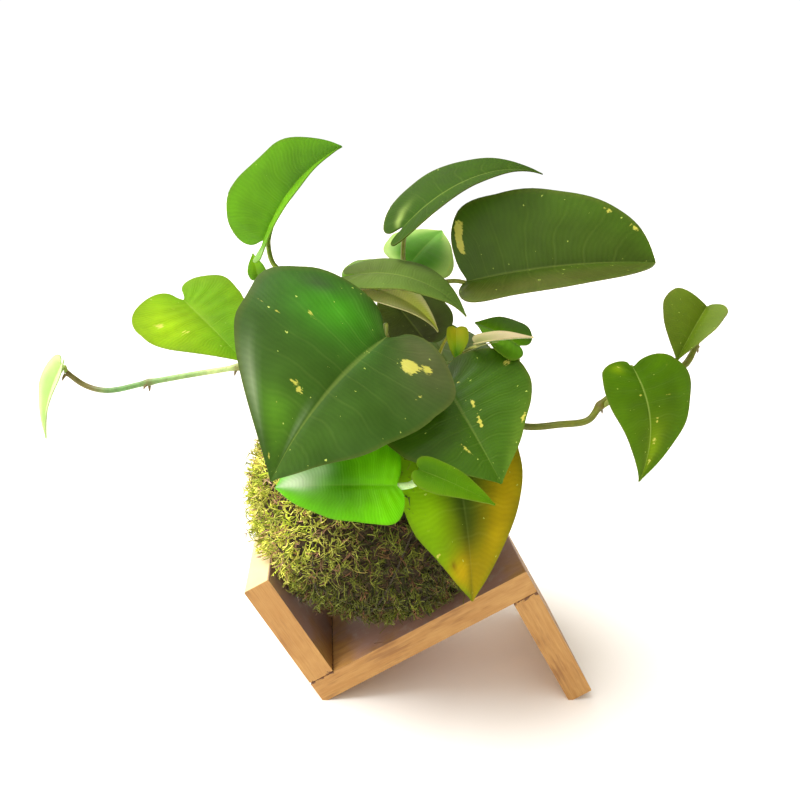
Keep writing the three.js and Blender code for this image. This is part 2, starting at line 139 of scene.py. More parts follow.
print("camera, floor and light")
view = {"place": (-12, -300, 229), "lens": 31.5, "yaw": 7.4, "pitch": 17.3, "roll": -5.2}
camera = bpy.data.objects.new("camera", bpy.data.cameras.new("camera"))
camera.data.lens = view["lens"]
camera.data.sensor_width = 36
camera.data.clip_start = 0.01
camera.matrix_world = (
    Matrix.Translation(Vector(view["place"]) * mm)
    @ Matrix.Rotation(-math.radians(view["yaw"]), 4, "Z")
    @ Matrix.Rotation(math.radians(90 - view["pitch"]), 4, "X")
    @ Matrix.Rotation(-math.radians(view["roll"]), 4, "Z")
)
bpy.context.scene.collection.objects.link(camera)
bpy.context.scene.camera = camera
bpy.context.scene.view_settings.view_transform = "Standard"

# Low winter sun through a wide window, from the upper left
windowSun = {"from": (-560, -50, 860), "watts": 3.4, "spread": 36, "hex": "ffffff"}
sunLamp = bpy.data.lights.new("windowSun", "SUN")
sunLamp.energy = windowSun["watts"]
sunLamp.angle = math.radians(windowSun["spread"])
sunLamp.color = linear(windowSun["hex"])[:3]
sunHolder = bpy.data.objects.new("windowSun", sunLamp)
sunHolder.rotation_euler = (-Vector(windowSun["from"])).to_track_quat("-Z", "Y").to_euler()
bpy.context.scene.collection.objects.link(sunHolder)

# White room: it shows as white. Its light is warm, and stronger from the window on the left
roomLight = {
    "window": (-0.86, -0.05, 0.5), "dimFrom": -0.35, "brightFrom": 0.95, "dim": 0.22, "bright": 1.8,
    "hex": "fff4e6", "shown": 1.05,
}
room = bpy.data.worlds.new("room")
bpy.context.scene.world = room
room.use_nodes = True
roomTree = room.node_tree
roomTree.nodes.clear()
heading = node(roomTree, "ShaderNodeTexCoord", out="Generated")
toWindow = node(roomTree, "ShaderNodeVectorMath", {0: heading, 1: roomLight["window"]}, out="Value",
                operation="DOT_PRODUCT")
glow = node(roomTree, "ShaderNodeMapRange", {
    0: toWindow, 1: roomLight["dimFrom"], 2: roomLight["brightFrom"], 3: roomLight["dim"],
    4: roomLight["bright"]}, interpolation_type="SMOOTHSTEP")
lit = node(roomTree, "ShaderNodeBackground", {"Color": linear(roomLight["hex"]), "Strength": glow})
shown = node(roomTree, "ShaderNodeBackground", {"Color": linear("ffffff"), "Strength": roomLight["shown"]})
seen = node(roomTree, "ShaderNodeLightPath")
sky = node(roomTree, "ShaderNodeMixShader", {0: seen, 1: lit, 2: shown})
node(roomTree, "ShaderNodeOutputWorld", {"Surface": sky})

# Matt white painted table board: bright, without a reflection of the object
tableTop = {"hex": "fbfaf8", "roughness": 0.9, "halfWidth": 6}
paintedTable, _, tableShader = newMaterial("paintedTable", Roughness=tableTop["roughness"])
tableShader.inputs["Base Color"].default_value = linear(tableTop["hex"])
tableMesh = bmesh.new()
bmesh.ops.create_grid(tableMesh, x_segments=1, y_segments=1, size=tableTop["halfWidth"])
tableData = bpy.data.meshes.new("table")
tableMesh.to_mesh(tableData)
tableData.materials.append(paintedTable)
table = bpy.data.objects.new("table", tableData)
bpy.context.scene.collection.objects.link(table)


print("wood")
wood = {
    # The sawn end's colour is its end grain, paled further as painted light from the window
    "light": "c49855", "dark": "a06c31", "pore": "8a5a34", "figure": "80522a", "litSawnEnd": "efdaa2",
    # The damp stain and the lime marks are lightened to a greyish mauve as painted sheen of the window on wet
    # wood
    "dampStainAndSheen": "b08c84", "limeMarkAndSheen": "c8bcb6", "glue": "4a1f12",
    "ringWidth": 2.6, "heart": 3.5, "fibreWidth": 0.5, "fibreLength": 14,
    "dampSheenFrom": 80, "dampSheenTo": 96, "dampSheenWander": 30, "dampSheenShare": 0.85, "dampRoughness": 0.3,
    "sawnDepth": 0.35, "sawnFade": 0.25, "litSawnShare": 0.75, "glueShare": 0.85,
}


# Planed alder strip: warm tan with faint rings, fine long fibres and short brown pores, hardly shiny, with a
# damp stain and lime marks round the ball's foot that carry painted sheen. The grain runs along the strip,
# which is turned by the stand's tilt. glueLine: the axis that it lies across, its place, how far it crumbles,
# and how far along the strip it goes. The last argument: the place of the sawn end, whose end grain is paled
# further as painted light from the window
def planedAlder(name, turn, glueLine, litSawnEnd):
    material, tree, shader = newMaterial(name, IOR=1.5, Coat_Weight=0.05, Coat_Roughness=0.4)
    place = node(tree, "ShaderNodeTexCoord", out="Object")
    shift = (math.sin(turn) * stand["planed"] * mm, wood["heart"] * mm, math.cos(turn) * stand["planed"] * mm)
    along = node(tree, "ShaderNodeMapping", {"Vector": place, "Rotation": (0, turn, 0), "Location": shift})
    parts = node(tree, "ShaderNodeSeparateXYZ", {0: along}).node.outputs

    # Rings, which a wave node draws tau / 20 apart at scale 1, then fibres and pores
    drift = node(tree, "ShaderNodeTexNoise", {"Vector": along, "Scale": 22, "Detail": 2}, out="Color")
    moved = node(tree, "ShaderNodeMix", {0: 0.012, 4: along, 5: drift}, out=1, data_type="VECTOR")
    rings = node(tree, "ShaderNodeTexWave", {
        "Vector": moved, "Scale": math.tau / (wood["ringWidth"] * 20 * mm), "Distortion": 3.0, "Detail": 3,
        "Detail Scale": 1.6}, out="Fac", wave_type="RINGS", rings_direction="X")
    thin, long = 1 / (wood["fibreWidth"] * mm), 1 / (wood["fibreLength"] * mm)
    stretch = node(tree, "ShaderNodeVectorMath", {0: along, 1: (long, thin, thin)}, operation="MULTIPLY")
    fibres = node(tree, "ShaderNodeTexNoise", {"Vector": stretch, "Scale": 1, "Detail": 3, "Roughness": 0.6})
    pores = node(tree, "ShaderNodeTexNoise", {"Vector": stretch, "Scale": 1.7, "Detail": 1})
    cloud = node(tree, "ShaderNodeTexNoise", {"Vector": along, "Scale": 35, "Detail": 3})
    ringShare = node(tree, "ShaderNodeMath", {0: rings, 1: 0.13}, operation="MULTIPLY")
    fibreShare = node(tree, "ShaderNodeMath", {0: fibres, 1: 0.55, 2: ringShare}, operation="MULTIPLY_ADD")
    share = node(tree, "ShaderNodeMath", {0: cloud, 1: 0.3, 2: fibreShare}, operation="MULTIPLY_ADD")
    colour = node(tree, "ShaderNodeValToRGB", {"Fac": share})
    setStops(colour, [(0.25, wood["light"]), (0.8, wood["dark"])])
    poreMask = node(tree, "ShaderNodeMapRange", {0: pores, 1: 0.66, 2: 0.72, 3: 0.0, 4: 0.45})

    # Short slanting brown streaks, in places
    slanted = node(tree, "ShaderNodeMapping", {
        "Vector": along, "Rotation": (0, 0.16, 0), "Scale": (70, 500, 700)})
    slants = node(tree, "ShaderNodeTexNoise", {"Vector": slanted, "Scale": 1, "Detail": 2})
    patchy = node(tree, "ShaderNodeMath", {0: cloud, 1: slants}, operation="ADD")
    slantMask = node(tree, "ShaderNodeMapRange", {0: patchy, 1: 1.1, 2: 1.3, 3: 0.0, 4: 0.55})

    # Damp stain round the foot of the ball, not on the front edges, with dried lime marks in it. Stain and
    # marks are lightened to a greyish mauve as painted sheen of the window on the wet wood
    centre = node(tree, "ShaderNodeVectorMath", {0: place, 1: tuple(ballCentre * mm)}, operation="DISTANCE",
                  out="Value")
    wander = node(tree, "ShaderNodeTexNoise", {"Vector": place, "Scale": 60, "Detail": 3})
    reach = node(tree, "ShaderNodeMath", {0: wander, 1: wood["dampSheenWander"] * mm, 2: centre},
                 operation="MULTIPLY_ADD")
    roundBallFoot = node(tree, "ShaderNodeMapRange", {
        0: reach, 1: wood["dampSheenFrom"] * mm, 2: wood["dampSheenTo"] * mm, 3: wood["dampSheenShare"], 4: 0.0},
        interpolation_type="SMOOTHSTEP")
    facing = node(tree, "ShaderNodeSeparateXYZ", {0: node(tree, "ShaderNodeTexCoord", out="Normal")}, out="Y")
    notEdge = node(tree, "ShaderNodeMapRange", {0: facing, 1: -0.9, 2: -0.5, 3: 0.0, 4: 1.0})
    dampStainAndSheen = node(tree, "ShaderNodeMath", {0: roundBallFoot, 1: notEdge}, operation="MULTIPLY")
    marks = node(tree, "ShaderNodeTexNoise", {"Vector": place, "Scale": 210, "Detail": 3, "Roughness": 0.65})
    markMask = node(tree, "ShaderNodeMapRange", {0: marks, 1: 0.54, 2: 0.7, 3: 0.0, 4: 0.6})
    dampSheenCore = node(tree, "ShaderNodeMath", {0: dampStainAndSheen, 1: 3.0}, operation="POWER")
    limeAndSheenMask = node(tree, "ShaderNodeMath", {0: markMask, 1: dampSheenCore}, operation="MULTIPLY")

    # Pale sawn end: the end grain's tone, paled further as painted light where the window falls on it
    sawnFrom = litSawnEnd - wood["sawnDepth"]
    litSawnEndMask = node(tree, "ShaderNodeMapRange", {
        0: parts[0], 1: sawnFrom * mm, 2: (sawnFrom + wood["sawnFade"]) * mm, 3: 0.0, 4: wood["litSawnShare"]})

    # Dark, crumbly glue line
    axis, where, crumble, until = glueLine
    distance = node(tree, "ShaderNodeMath", {0: parts[axis], 1: where * mm}, operation="SUBTRACT")
    off = node(tree, "ShaderNodeMath", {0: distance}, operation="ABSOLUTE")
    crumbs = node(tree, "ShaderNodeTexNoise", {"Vector": place, "Scale": 420, "Detail": 3, "Roughness": 0.7})
    width = node(tree, "ShaderNodeMapRange", {0: crumbs, 1: 0.42, 2: 0.75, 3: 0.0, 4: crumble * mm})
    over = node(tree, "ShaderNodeMath", {0: width, 1: off}, operation="SUBTRACT")
    near = node(tree, "ShaderNodeMath", {0: parts[0], 1: until * mm}, operation="LESS_THAN")
    glued = node(tree, "ShaderNodeMapRange", {0: over, 1: 0.0, 2: 0.3 * mm, 3: 0.0, 4: wood["glueShare"]})
    glueMask = node(tree, "ShaderNodeMath", {0: glued, 1: near}, operation="MULTIPLY")

    layers = {"pore": poreMask, "figure": slantMask, "dampStainAndSheen": dampStainAndSheen, "limeMarkAndSheen": limeAndSheenMask, "litSawnEnd": litSawnEndMask,
              "glue": glueMask}
    for layer, mask in layers.items():
        colour = node(tree, "ShaderNodeMix", {0: mask, 6: colour, 7: linear(wood[layer])}, **inColour)
    rough = node(tree, "ShaderNodeMapRange", {0: fibres, 1: 0.3, 2: 0.7, 3: 0.5, 4: 0.68})
    wet = node(tree, "ShaderNodeMix", {0: dampStainAndSheen, 2: rough, 3: wood["dampRoughness"]}, data_type="FLOAT")
    tree.links.new(wet, shader.inputs["Roughness"])
    surface(tree, shader, colour, fibres, 0.25, 0.2)
    return material


# Material that runs between two colours in fine noise. relief: how high its crumbs stand, in millimetres
def speckled(name, grain, stops, relief=0.0, **sockets):
    material, tree, shader = newMaterial(name, **sockets)
    place = node(tree, "ShaderNodeTexCoord", out="Object")
    specks = node(tree, "ShaderNodeTexNoise", {"Vector": place, **grain})
    colour = node(tree, "ShaderNodeValToRGB", {"Fac": specks})
    setStops(colour, stops)
    if relief:
        surface(tree, shader, colour, specks, 0.8, relief)
    else:
        tree.links.new(colour, shader.inputs["Base Color"])
    return material


def repaint(name, material):
    piece = frame["nodes"][name]
    piece.data.materials.clear()
    piece.data.materials.append(material)


# The boards: name of the finish, turn of the grain, glue line and sawn end, as planedAlder takes them
farOff = 500
upright = stand["tilt"] + math.pi / 2
boards = {
    "seat_board": ("planedAlderSeat", stand["tilt"], (2, stand["thickness"], 2.2, stand["thickness"]),
                   farOff),
    "end_board": ("planedAlderEnd", upright, (0, stand["thickness"], 2.6, farOff), stand["endTop"]),
    "leg_board": ("planedAlderLeg", upright, (0, 0, 3.2, farOff), farOff),
}
for name, finish in boards.items():
    repaint(name, planedAlder(*finish))

# Turned beech dowel: close, pale pinkish wood with short flecks
beechDowel = speckled("turnedBeechDowel", {"Scale": 900, "Detail": 2}, [(0.4, "d3aa7c"), (0.7, "b98b5e")],
                      Roughness=0.6, IOR=1.5)
for name in ("peg_end_front", "peg_end_back", "peg_leg_front", "peg_leg_back"):
    repaint(name, beechDowel)


# Links a finished mesh as a piece of the plant that stands for CAD nodes
def addPiece(name, mesh, materials, nodes=()):
    for material in materials:
        mesh.materials.append(material)
    piece = bpy.data.objects.new(name, mesh)
    bpy.context.scene.collection.objects.link(piece)
    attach(piece, "root")
    if nodes:
        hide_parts(*nodes)
    return piece


# Mesh from a bmesh in millimetres, smooth up to the given angle
def meshFrom(name, bm, sharpAngle=50):
    bmesh.ops.scale(bm, vec=(mm, mm, mm), verts=bm.verts)
    mesh = bpy.data.meshes.new(name)
    bm.to_mesh(mesh)
    bm.free()
    mesh.shade_smooth()
    mesh.set_sharp_from_angle(angle=math.radians(sharpAngle))
    return mesh


# Points at even steps on a smooth curve through the given points (centripetal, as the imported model's tubes)
def smoothPath(points, perStretch):
    points = [Vector(p) for p in points]
    ends = [2 * points[0] - points[1], *points, 2 * points[-1] - points[-2]]
    path = []
    for i in range(1, len(ends) - 2):
        p0, p1, p2, p3 = ends[i - 1:i + 3]
        d0, d1, d2 = [max((b - a).length, 1e-4) ** 0.5 for a, b in ((p0, p1), (p1, p2), (p2, p3))]
        t1 = (p1 - p0) / d0 - (p2 - p0) / (d0 + d1) + (p2 - p1) / d1
        t2 = (p2 - p1) / d1 - (p3 - p1) / (d1 + d2) + (p3 - p2) / d2
        t1, t2 = t1 * d1, t2 * d1
        for k in range(perStretch):
            x = k / perStretch
            path.append((2 * x**3 - 3 * x**2 + 1) * p1 + (x**3 - 2 * x**2 + x) * t1
                        + (3 * x**2 - 2 * x**3) * p2 + (x**3 - x**2) * t2)
    path.append(points[-1])
    return path


# Tube in a bmesh: a ring that is extruded from point to point. radii and tints are functions of the share
# of the way. Its ends are closed, or joined to each other
def growTube(bm, path, radii, tints, sides=8, material=0, loop=False):
    tintLayer = bm.verts.layers.float_color.get("tint") or bm.verts.layers.float_color.new("tint")
    turned = (path[1] - path[0]).to_track_quat("Z", "Y").to_matrix()
    ring = bmesh.ops.create_circle(bm, cap_ends=not loop, segments=sides, radius=1)["verts"]
    edges = list({edge for vert in ring for edge in vert.link_edges})
    firstEdges = edges
    skin = [] if loop else list(ring[0].link_faces)
    last = len(path) - 1
    placed = Matrix.Identity(4)
    for k, point in enumerate(path):
        if loop:
            ahead = path[(k + 1) % len(path)] - path[k - 1]
        else:
            ahead = path[min(k + 1, last)] - path[max(k - 1, 0)]
        turned = turned.col[2].rotation_difference(ahead.normalized()).to_matrix() @ turned
        radius = radii(k / last)
        here = Matrix.Translation(point) @ turned.to_4x4() @ Matrix.Diagonal((radius, radius, 1, 1))
        if k:
            grown = bmesh.ops.extrude_edge_only(bm, edges=edges)["geom"]
            ring = [g for g in grown if isinstance(g, bmesh.types.BMVert)]
            edges = [g for g in grown if isinstance(g, bmesh.types.BMEdge)
                     and g.verts[0] in ring and g.verts[1] in ring]
            skin += [g for g in grown if isinstance(g, bmesh.types.BMFace)]
        bmesh.ops.transform(bm, matrix=here @ placed.inverted(), verts=ring)
        placed = here
        for vert in ring:
            vert[tintLayer] = tints(k / last)
    if loop:
        skin += bmesh.ops.bridge_loops(bm, edges=edges + firstEdges)["faces"]
    else:
        skin += bmesh.ops.contextual_create(bm, geom=edges)["faces"]
    for face in skin:
        face.material_index = material
    bmesh.ops.recalc_face_normals(bm, faces=skin)


# Blend of two colours
def mixed(first, second, share):
    return [a + (b - a) * share for a, b in zip(first, second)]


def smoothstep(low, high, value):
    x = min(max((value - low) / (high - low), 0), 1)
    return x * x * (3 - 2 * x)


# Random vector between two corners, drawn in the order x, y, z
def anyVector(draw, low=(-1, -1, -1), high=(1, 1, 1)):
    return Vector([draw.uniform(a, b) for a, b in zip(low, high)])


print("moss")
moss = {
    "bedLift": -1.4, "bedLumps": ((9, 0.8), (26, 0.5), (62, 0.35)), "bedWall": 3, "clear": 0.4,
    "roomFrom": 0.6, "roomTo": 3, "farFromBoards": 9, "sunnyThinning": 0.65,
    # Sprig colours with painted light on the side towards the window and painted shade away from it, and where
    # one turns into the other
    "sunnySide": (-0.86, -0.1, 0.32), "sunnyFrom": 0.26, "sunnyTo": 0.57, "patches": 0.16,
    "sunny": [(0.0, "90a428"), (0.3, "ccd946"), (0.62, "faf780"), (0.8, "d0d64e"), (0.88, "ae825a"),
              (1.0, "caa488")],
    "shaded": [(0.0, "373a13"), (0.3, "57601d"), (0.62, "7c8629"), (0.8, "605a23"), (0.9, "68492c"),
               (1.0, "8c6241")],
}
# Layers of sprigs: kind, how far apart they stand, size, lean from upright in degrees, where on the bed they
# grow, and how bright they are
sprigs = {
    "mossUnder": {
        "kind": "tip", "apart": 2.3, "size": (0.8, 1.3), "lean": (25, 80), "where": "room", "dull": 0.55},
    "mossFeathers": {
        "kind": "feather", "apart": 3.5, "size": (0.8, 1.3), "lean": (30, 78), "where": "room", "dull": 0.85},
    "mossPlumes": {
        "kind": "feather", "apart": 3.55, "size": (0.65, 1.15), "lean": (15, 70), "where": "room",
        "dull": 1.0},
    "mossTips": {
        "kind": "tip", "apart": 1.9, "size": (0.6, 1.1), "lean": (5, 70), "where": "sunny", "dull": 1.1},
    "mossStrands": {
        "kind": "strand", "apart": 2.9, "size": (0.7, 1.2), "lean": (62, 92), "where": "shady", "dull": 0.95},
}
# A sprig's parts: how far the foot is sunk, length and radius from and to, steps, and how much it curls
sprigParts = {
    "tip": {"sunk": 0.6, "length": (3.4, 5.2), "radius": (0.3, 0.46), "steps": 4, "curl": 1.3},
    "strand": {"sunk": 0.3, "length": (7, 12), "radius": (0.17, 0.26), "steps": 7, "curl": 1.6},
    "feather": {"sunk": 0.8, "length": (5.5, 8), "radius": (0.26, 0.34), "steps": 5, "curl": 1.0},
    "barb": {"length": (1.8, 3.0), "radius": (0.22, 0.3), "steps": 2, "curl": 0.8},
}
# wobble: how freely a sprig bends. Foot: how dark a sprig's foot is, as painted shade deep in the moss.
# barbLean: how far barbs lean ahead
sprigForm = {
    "kinds": 9, "barbs": 4, "wobble": 0.7, "barbLean": 0.7, "taper": 0.72, "taperPower": 1.6,
    "footShade": 0.15,
}


# How far the moss reaches from the ball's centre in a direction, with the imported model's lumps
def mossReach(direction):
    x, y, z = direction
    lump = math.sin(5 * x + 2 * z + 1) * math.cos(4 * y - 3 * z) + 0.6 * math.sin(7 * y + 6 * z * x)
    return ball["radius"] + ball["lump"] * lump


# Presses points, rows of x, y and z in millimetres, flat where the seat and the end board are
def pressed(points):
    along, up = toStand(points[:, 0], points[:, 2])
    limit = stand["thickness"] + moss["clear"]
    up = np.maximum(up, limit)
    along = np.where(up < stand["endTop"] + 1, np.maximum(along, limit), along)
    points[:, 0], points[:, 2] = fromStand(along, up)
    return points


def pressedVectors(vectors):
    return [Vector(row) for row in pressed(np.array([tuple(v) for v in vectors]))]


def pressMesh(mesh):
    flat = np.empty(len(mesh.vertices) * 3)
    mesh.vertices.foreach_get("co", flat)
    points = pressed(flat.reshape(-1, 3) / mm) * mm
    mesh.vertices.foreach_set("co", points.ravel())
    mesh.update()


# Air-dried sheet moss: crisp, dull sprigs from yellow-green to brown, in lighter and darker tufts. Painted
# light
# and shade: pale yellow-green on the side towards the window, darker olive away from it, and darker at the
# sprigs' feet as painted shade. Its own attributes say each sprig's tone, how sunny it stands and how bright
# it is
def driedMoss():
    material, tree, shader = newMaterial("airDriedSheetMoss", Roughness=0.72, IOR=1.4)
    tone, sunny, dull = [node(tree, "ShaderNodeAttribute", out=2, attribute_name=name)
                         for name in ("tone", "sunny", "dull")]
    share = node(tree, "ShaderNodeSeparateColor", {0: node(tree, "ShaderNodeVertexColor", layer_name="tint")})
    # Painted light and shade: one palette for the side towards the window and one for the side away from it
    bright = node(tree, "ShaderNodeValToRGB", {"Fac": tone})
    setStops(bright, moss["sunny"])
    dark = node(tree, "ShaderNodeValToRGB", {"Fac": tone})
    setStops(dark, moss["shaded"])
    hue = node(tree, "ShaderNodeMix", {0: sunny, 6: dark, 7: bright}, **inColour)
    # Painted shade at the sprigs' feet, brighter towards their tips
    lift = node(tree, "ShaderNodeMapRange", {0: share, 1: 0.0, 2: 0.9, 3: 0.28, 4: 1.35})
    place = node(tree, "ShaderNodeTexCoord", out="Object")
    tufts = node(tree, "ShaderNodeTexNoise", {"Vector": place, "Scale": 130, "Detail": 2})
    tuftTone = node(tree, "ShaderNodeMapRange", {0: tufts, 1: 0.36, 2: 0.64, 3: 0.6, 4: 1.36})
    dulled = node(tree, "ShaderNodeMath", {0: dull, 1: tuftTone}, operation="MULTIPLY")
    strength = node(tree, "ShaderNodeMath", {0: lift, 1: dulled}, operation="MULTIPLY")
    grain = node(tree, "ShaderNodeTexNoise", {"Vector": place, "Scale": 1500, "Detail": 2})
    grainTone = node(tree, "ShaderNodeMapRange", {0: grain, 1: 0.3, 2: 0.7, 3: 0.75, 4: 1.2})
    both = node(tree, "ShaderNodeMath", {0: strength, 1: grainTone}, operation="MULTIPLY")
    shaded = node(tree, "ShaderNodeVectorMath", {0: hue, "Scale": both}, operation="SCALE")
    surface(tree, shader, shaded, grain, 0.4, 0.2)
    return material


mossSkin = driedMoss()

# Packed peat, and the brown felt of old moss between the sprigs: dark crumbs with paler fibres
peatGrain = {"Scale": 700, "Detail": 4, "Roughness": 0.7}
mossFloor = speckled("packedMossFelt", peatGrain, [(0.35, "1c150b"), (0.7, "50402a")], 0.8, Roughness=0.92,
                     IOR=1.4)
peat = speckled("packedPeat", peatGrain, [(0.35, "1d130b"), (0.7, "4b3420")], 0.8, Roughness=0.92, IOR=1.4)


# Ball of the given reach in each direction with lumps (noise scale, height), pressed flat on the boards
def lumpySphere(radiusIn, lumps):
    bm = bmesh.new()
    bmesh.ops.create_icosphere(bm, subdivisions=6, radius=1)
    points = []
    for vert in bm.verts:
        direction = vert.co.normalized()
        lump = sum(noise.noise(direction * scale) * height for scale, height in lumps)
        points.append(ballCentre + direction * (radiusIn(direction) + lump))
    for vert, point in zip(bm.verts, pressedVectors(points)):
        vert.co = point
    return bm


# Bed of the moss, open at the neck. Its layers say where sprigs have room, and where it is sunny or shady: the
# side towards the window, whose sprigs get painted light, and the side away from it
def makeMossBed():
    bm = lumpySphere(lambda direction: mossReach(direction) + moss["bedLift"], moss["bedLumps"])
    neck = [f for f in bm.faces if f.calc_center_median().z > ballCentre.z
            and (f.calc_center_median() - ballCentre).xy.length < ball["neck"]]
    bmesh.ops.delete(bm, geom=neck, context="FACES")
    room, sunny, shady = [bm.verts.layers.float.new(name) for name in ("room", "sunny", "shady")]
    towardSun = Vector(moss["sunnySide"])
    for vert in bm.verts:
        offset = vert.co - ballCentre
        along, up = toStand(vert.co.x, vert.co.z)
        overEnd = up >= stand["endTop"]
        free = min(up - stand["thickness"], moss["farFromBoards"] if overEnd else along - stand["thickness"])
        vert[room] = smoothstep(moss["roomFrom"], moss["roomTo"], free)
        patch = noise.noise(offset * 0.05) + 0.5 * noise.noise(offset * 0.13)
        vert[sunny] = smoothstep(moss["sunnyFrom"], moss["sunnyTo"],
                                 offset.normalized().dot(towardSun) + moss["patches"] * patch)
        vert[shady] = vert[room] * (1 - moss["sunnyThinning"] * vert[sunny])
    return bm


bedMesh = meshFrom("mossBed", makeMossBed())
ground = bpy.data.objects.new("mossGround", bedMesh.copy())
bpy.context.scene.collection.objects.link(ground)
bed = addPiece("mossBed", bedMesh, [mossFloor], ["moss_cover"])
wall = bed.modifiers.new("wall", "SOLIDIFY")
wall.thickness = moss["bedWall"] * mm
wall.offset = -1

soil = {"under": 9.6, "lumps": ((14, 1.2), (40, 0.8))}
soilBall = lumpySphere(lambda direction: ball["radius"] - soil["under"], soil["lumps"])
addPiece("soilCrumbs", meshFrom("soilCrumbs", soilBall), [peat], ["soil_core"])


# One sprig of moss, standing along +Z from its foot
def makeSprig(kind, number):
    draw = random.Random(kind + str(number))
    bm = bmesh.new()

    def strand(foot, heading, part):
        length, radius = draw.uniform(*part["length"]), draw.uniform(*part["radius"])
        points = [Vector(foot)]
        heading = Vector(heading).normalized()
        sway = anyVector(draw, (-1, -1, -0.6), (1, 1, 0.2))
        for k in range(part["steps"]):
            heading = (heading + sway * part["curl"] / part["steps"]).normalized()
            sway += anyVector(draw) * sprigForm["wobble"]
            points.append(points[-1] + heading * length / part["steps"])
        dark = sprigForm["footShade"]
        growTube(bm, points, lambda share: radius * (1 - sprigForm["taper"] * share**sprigForm["taperPower"]),
                 lambda share: (dark + (1 - dark) * share, 0, 0, 1), 3)
        return points

    axis = strand((0, 0, -sprigParts[kind]["sunk"]), (0, 0, 1), sprigParts[kind])
    if kind == "feather":
        for k in range(sprigForm["barbs"]):
            ahead = (axis[k + 1] - axis[k]).normalized()
            side = Vector((draw.uniform(-1, 1), draw.uniform(-1, 1), 0)).normalized()
            strand(axis[k + 1], ahead * sprigForm["barbLean"] + side, sprigParts["barb"])
    return meshFrom(kind + str(number), bm, 80)


# Scatters sprigs over the bed with geometry nodes, and keeps the result as a plain mesh
def plantSprigs(name, layer, seed):
    patch = bpy.data.collections.new(name)
    for number in range(sprigForm["kinds"]):
        sprig = bpy.data.objects.new("sprig", makeSprig(layer["kind"], number))
        patch.objects.link(sprig)
    tree = bpy.data.node_groups.new(name, "GeometryNodeTree")
    tree.interface.new_socket("Geometry", in_out="INPUT", socket_type="NodeSocketGeometry")
    tree.interface.new_socket("Geometry", in_out="OUTPUT", socket_type="NodeSocketGeometry")
    bedIn = node(tree, "NodeGroupInput")
    where = node(tree, "GeometryNodeInputNamedAttribute", {"Name": layer["where"]}, data_type="FLOAT")
    points = node(tree, "GeometryNodeDistributePointsOnFaces", {
        "Mesh": bedIn, "Distance Min": layer["apart"] * mm, "Density Max": 1.2e6, "Density Factor": where,
        "Seed": seed}, distribute_method="POISSON")
    low, high = [math.radians(angle) for angle in layer["lean"]]
    angles = node(tree, "FunctionNodeRandomValue", {0: (low, 0, 0), 1: (high, 0, 6.28), "Seed": seed},
                  data_type="FLOAT_VECTOR")
    turn = node(tree, "FunctionNodeEulerToRotation", {0: angles})
    lean = node(tree, "FunctionNodeRotateRotation", {
        "Rotation": points.node.outputs["Rotation"], "Rotate By": turn}, rotation_space="LOCAL")
    size = node(tree, "FunctionNodeRandomValue", {2: layer["size"][0], 3: layer["size"][1], "Seed": seed + 1},
                out=1)
    kinds = node(tree, "GeometryNodeCollectionInfo", {
        "Collection": patch, "Separate Children": True, "Reset Children": True})
    planted = node(tree, "GeometryNodeInstanceOnPoints", {
        "Points": points, "Instance": kinds, "Pick Instance": True, "Rotation": lean, "Scale": size})
    tone = node(tree, "FunctionNodeRandomValue", {"Seed": seed + 2}, out=1)
    for attribute, value in (("tone", tone), ("dull", layer["dull"])):
        planted = node(tree, "GeometryNodeStoreNamedAttribute", {
            "Geometry": planted, "Name": attribute, "Value": value}, data_type="FLOAT", domain="INSTANCE")
    node(tree, "NodeGroupOutput", {0: node(tree, "GeometryNodeRealizeInstances", {0: planted})})
    scatter = ground.modifiers.new(name, "NODES")
    scatter.node_group = tree
    grown = ground.evaluated_get(bpy.context.evaluated_depsgraph_get())
    mesh = bpy.data.meshes.new_from_object(grown)
    ground.modifiers.remove(scatter)
    mesh.materials.clear()
    pressMesh(mesh)
    mesh.calc_loop_triangles()
    print(name, len(mesh.loop_triangles), "triangles")
    addPiece(name, mesh, [mossSkin])
    for sprig in list(patch.objects):
        bpy.data.objects.remove(sprig)
    bpy.data.collections.remove(patch)


for seed, (name, layer) in enumerate(sprigs.items()):
    plantSprigs(name, layer, seed * 10)
bpy.data.objects.remove(ground)

print("loose moss")
strays = {
    "count": 60, "radius": 0.13, "length": (5, 10), "steps": 7, "wander": 0.35, "sunny": 0.35, "dull": 0.8,
    "fallen": 9, "fallenAlong": (25, 85), "fallenFront": (24, 33), "neckFrom": 0.8,
}


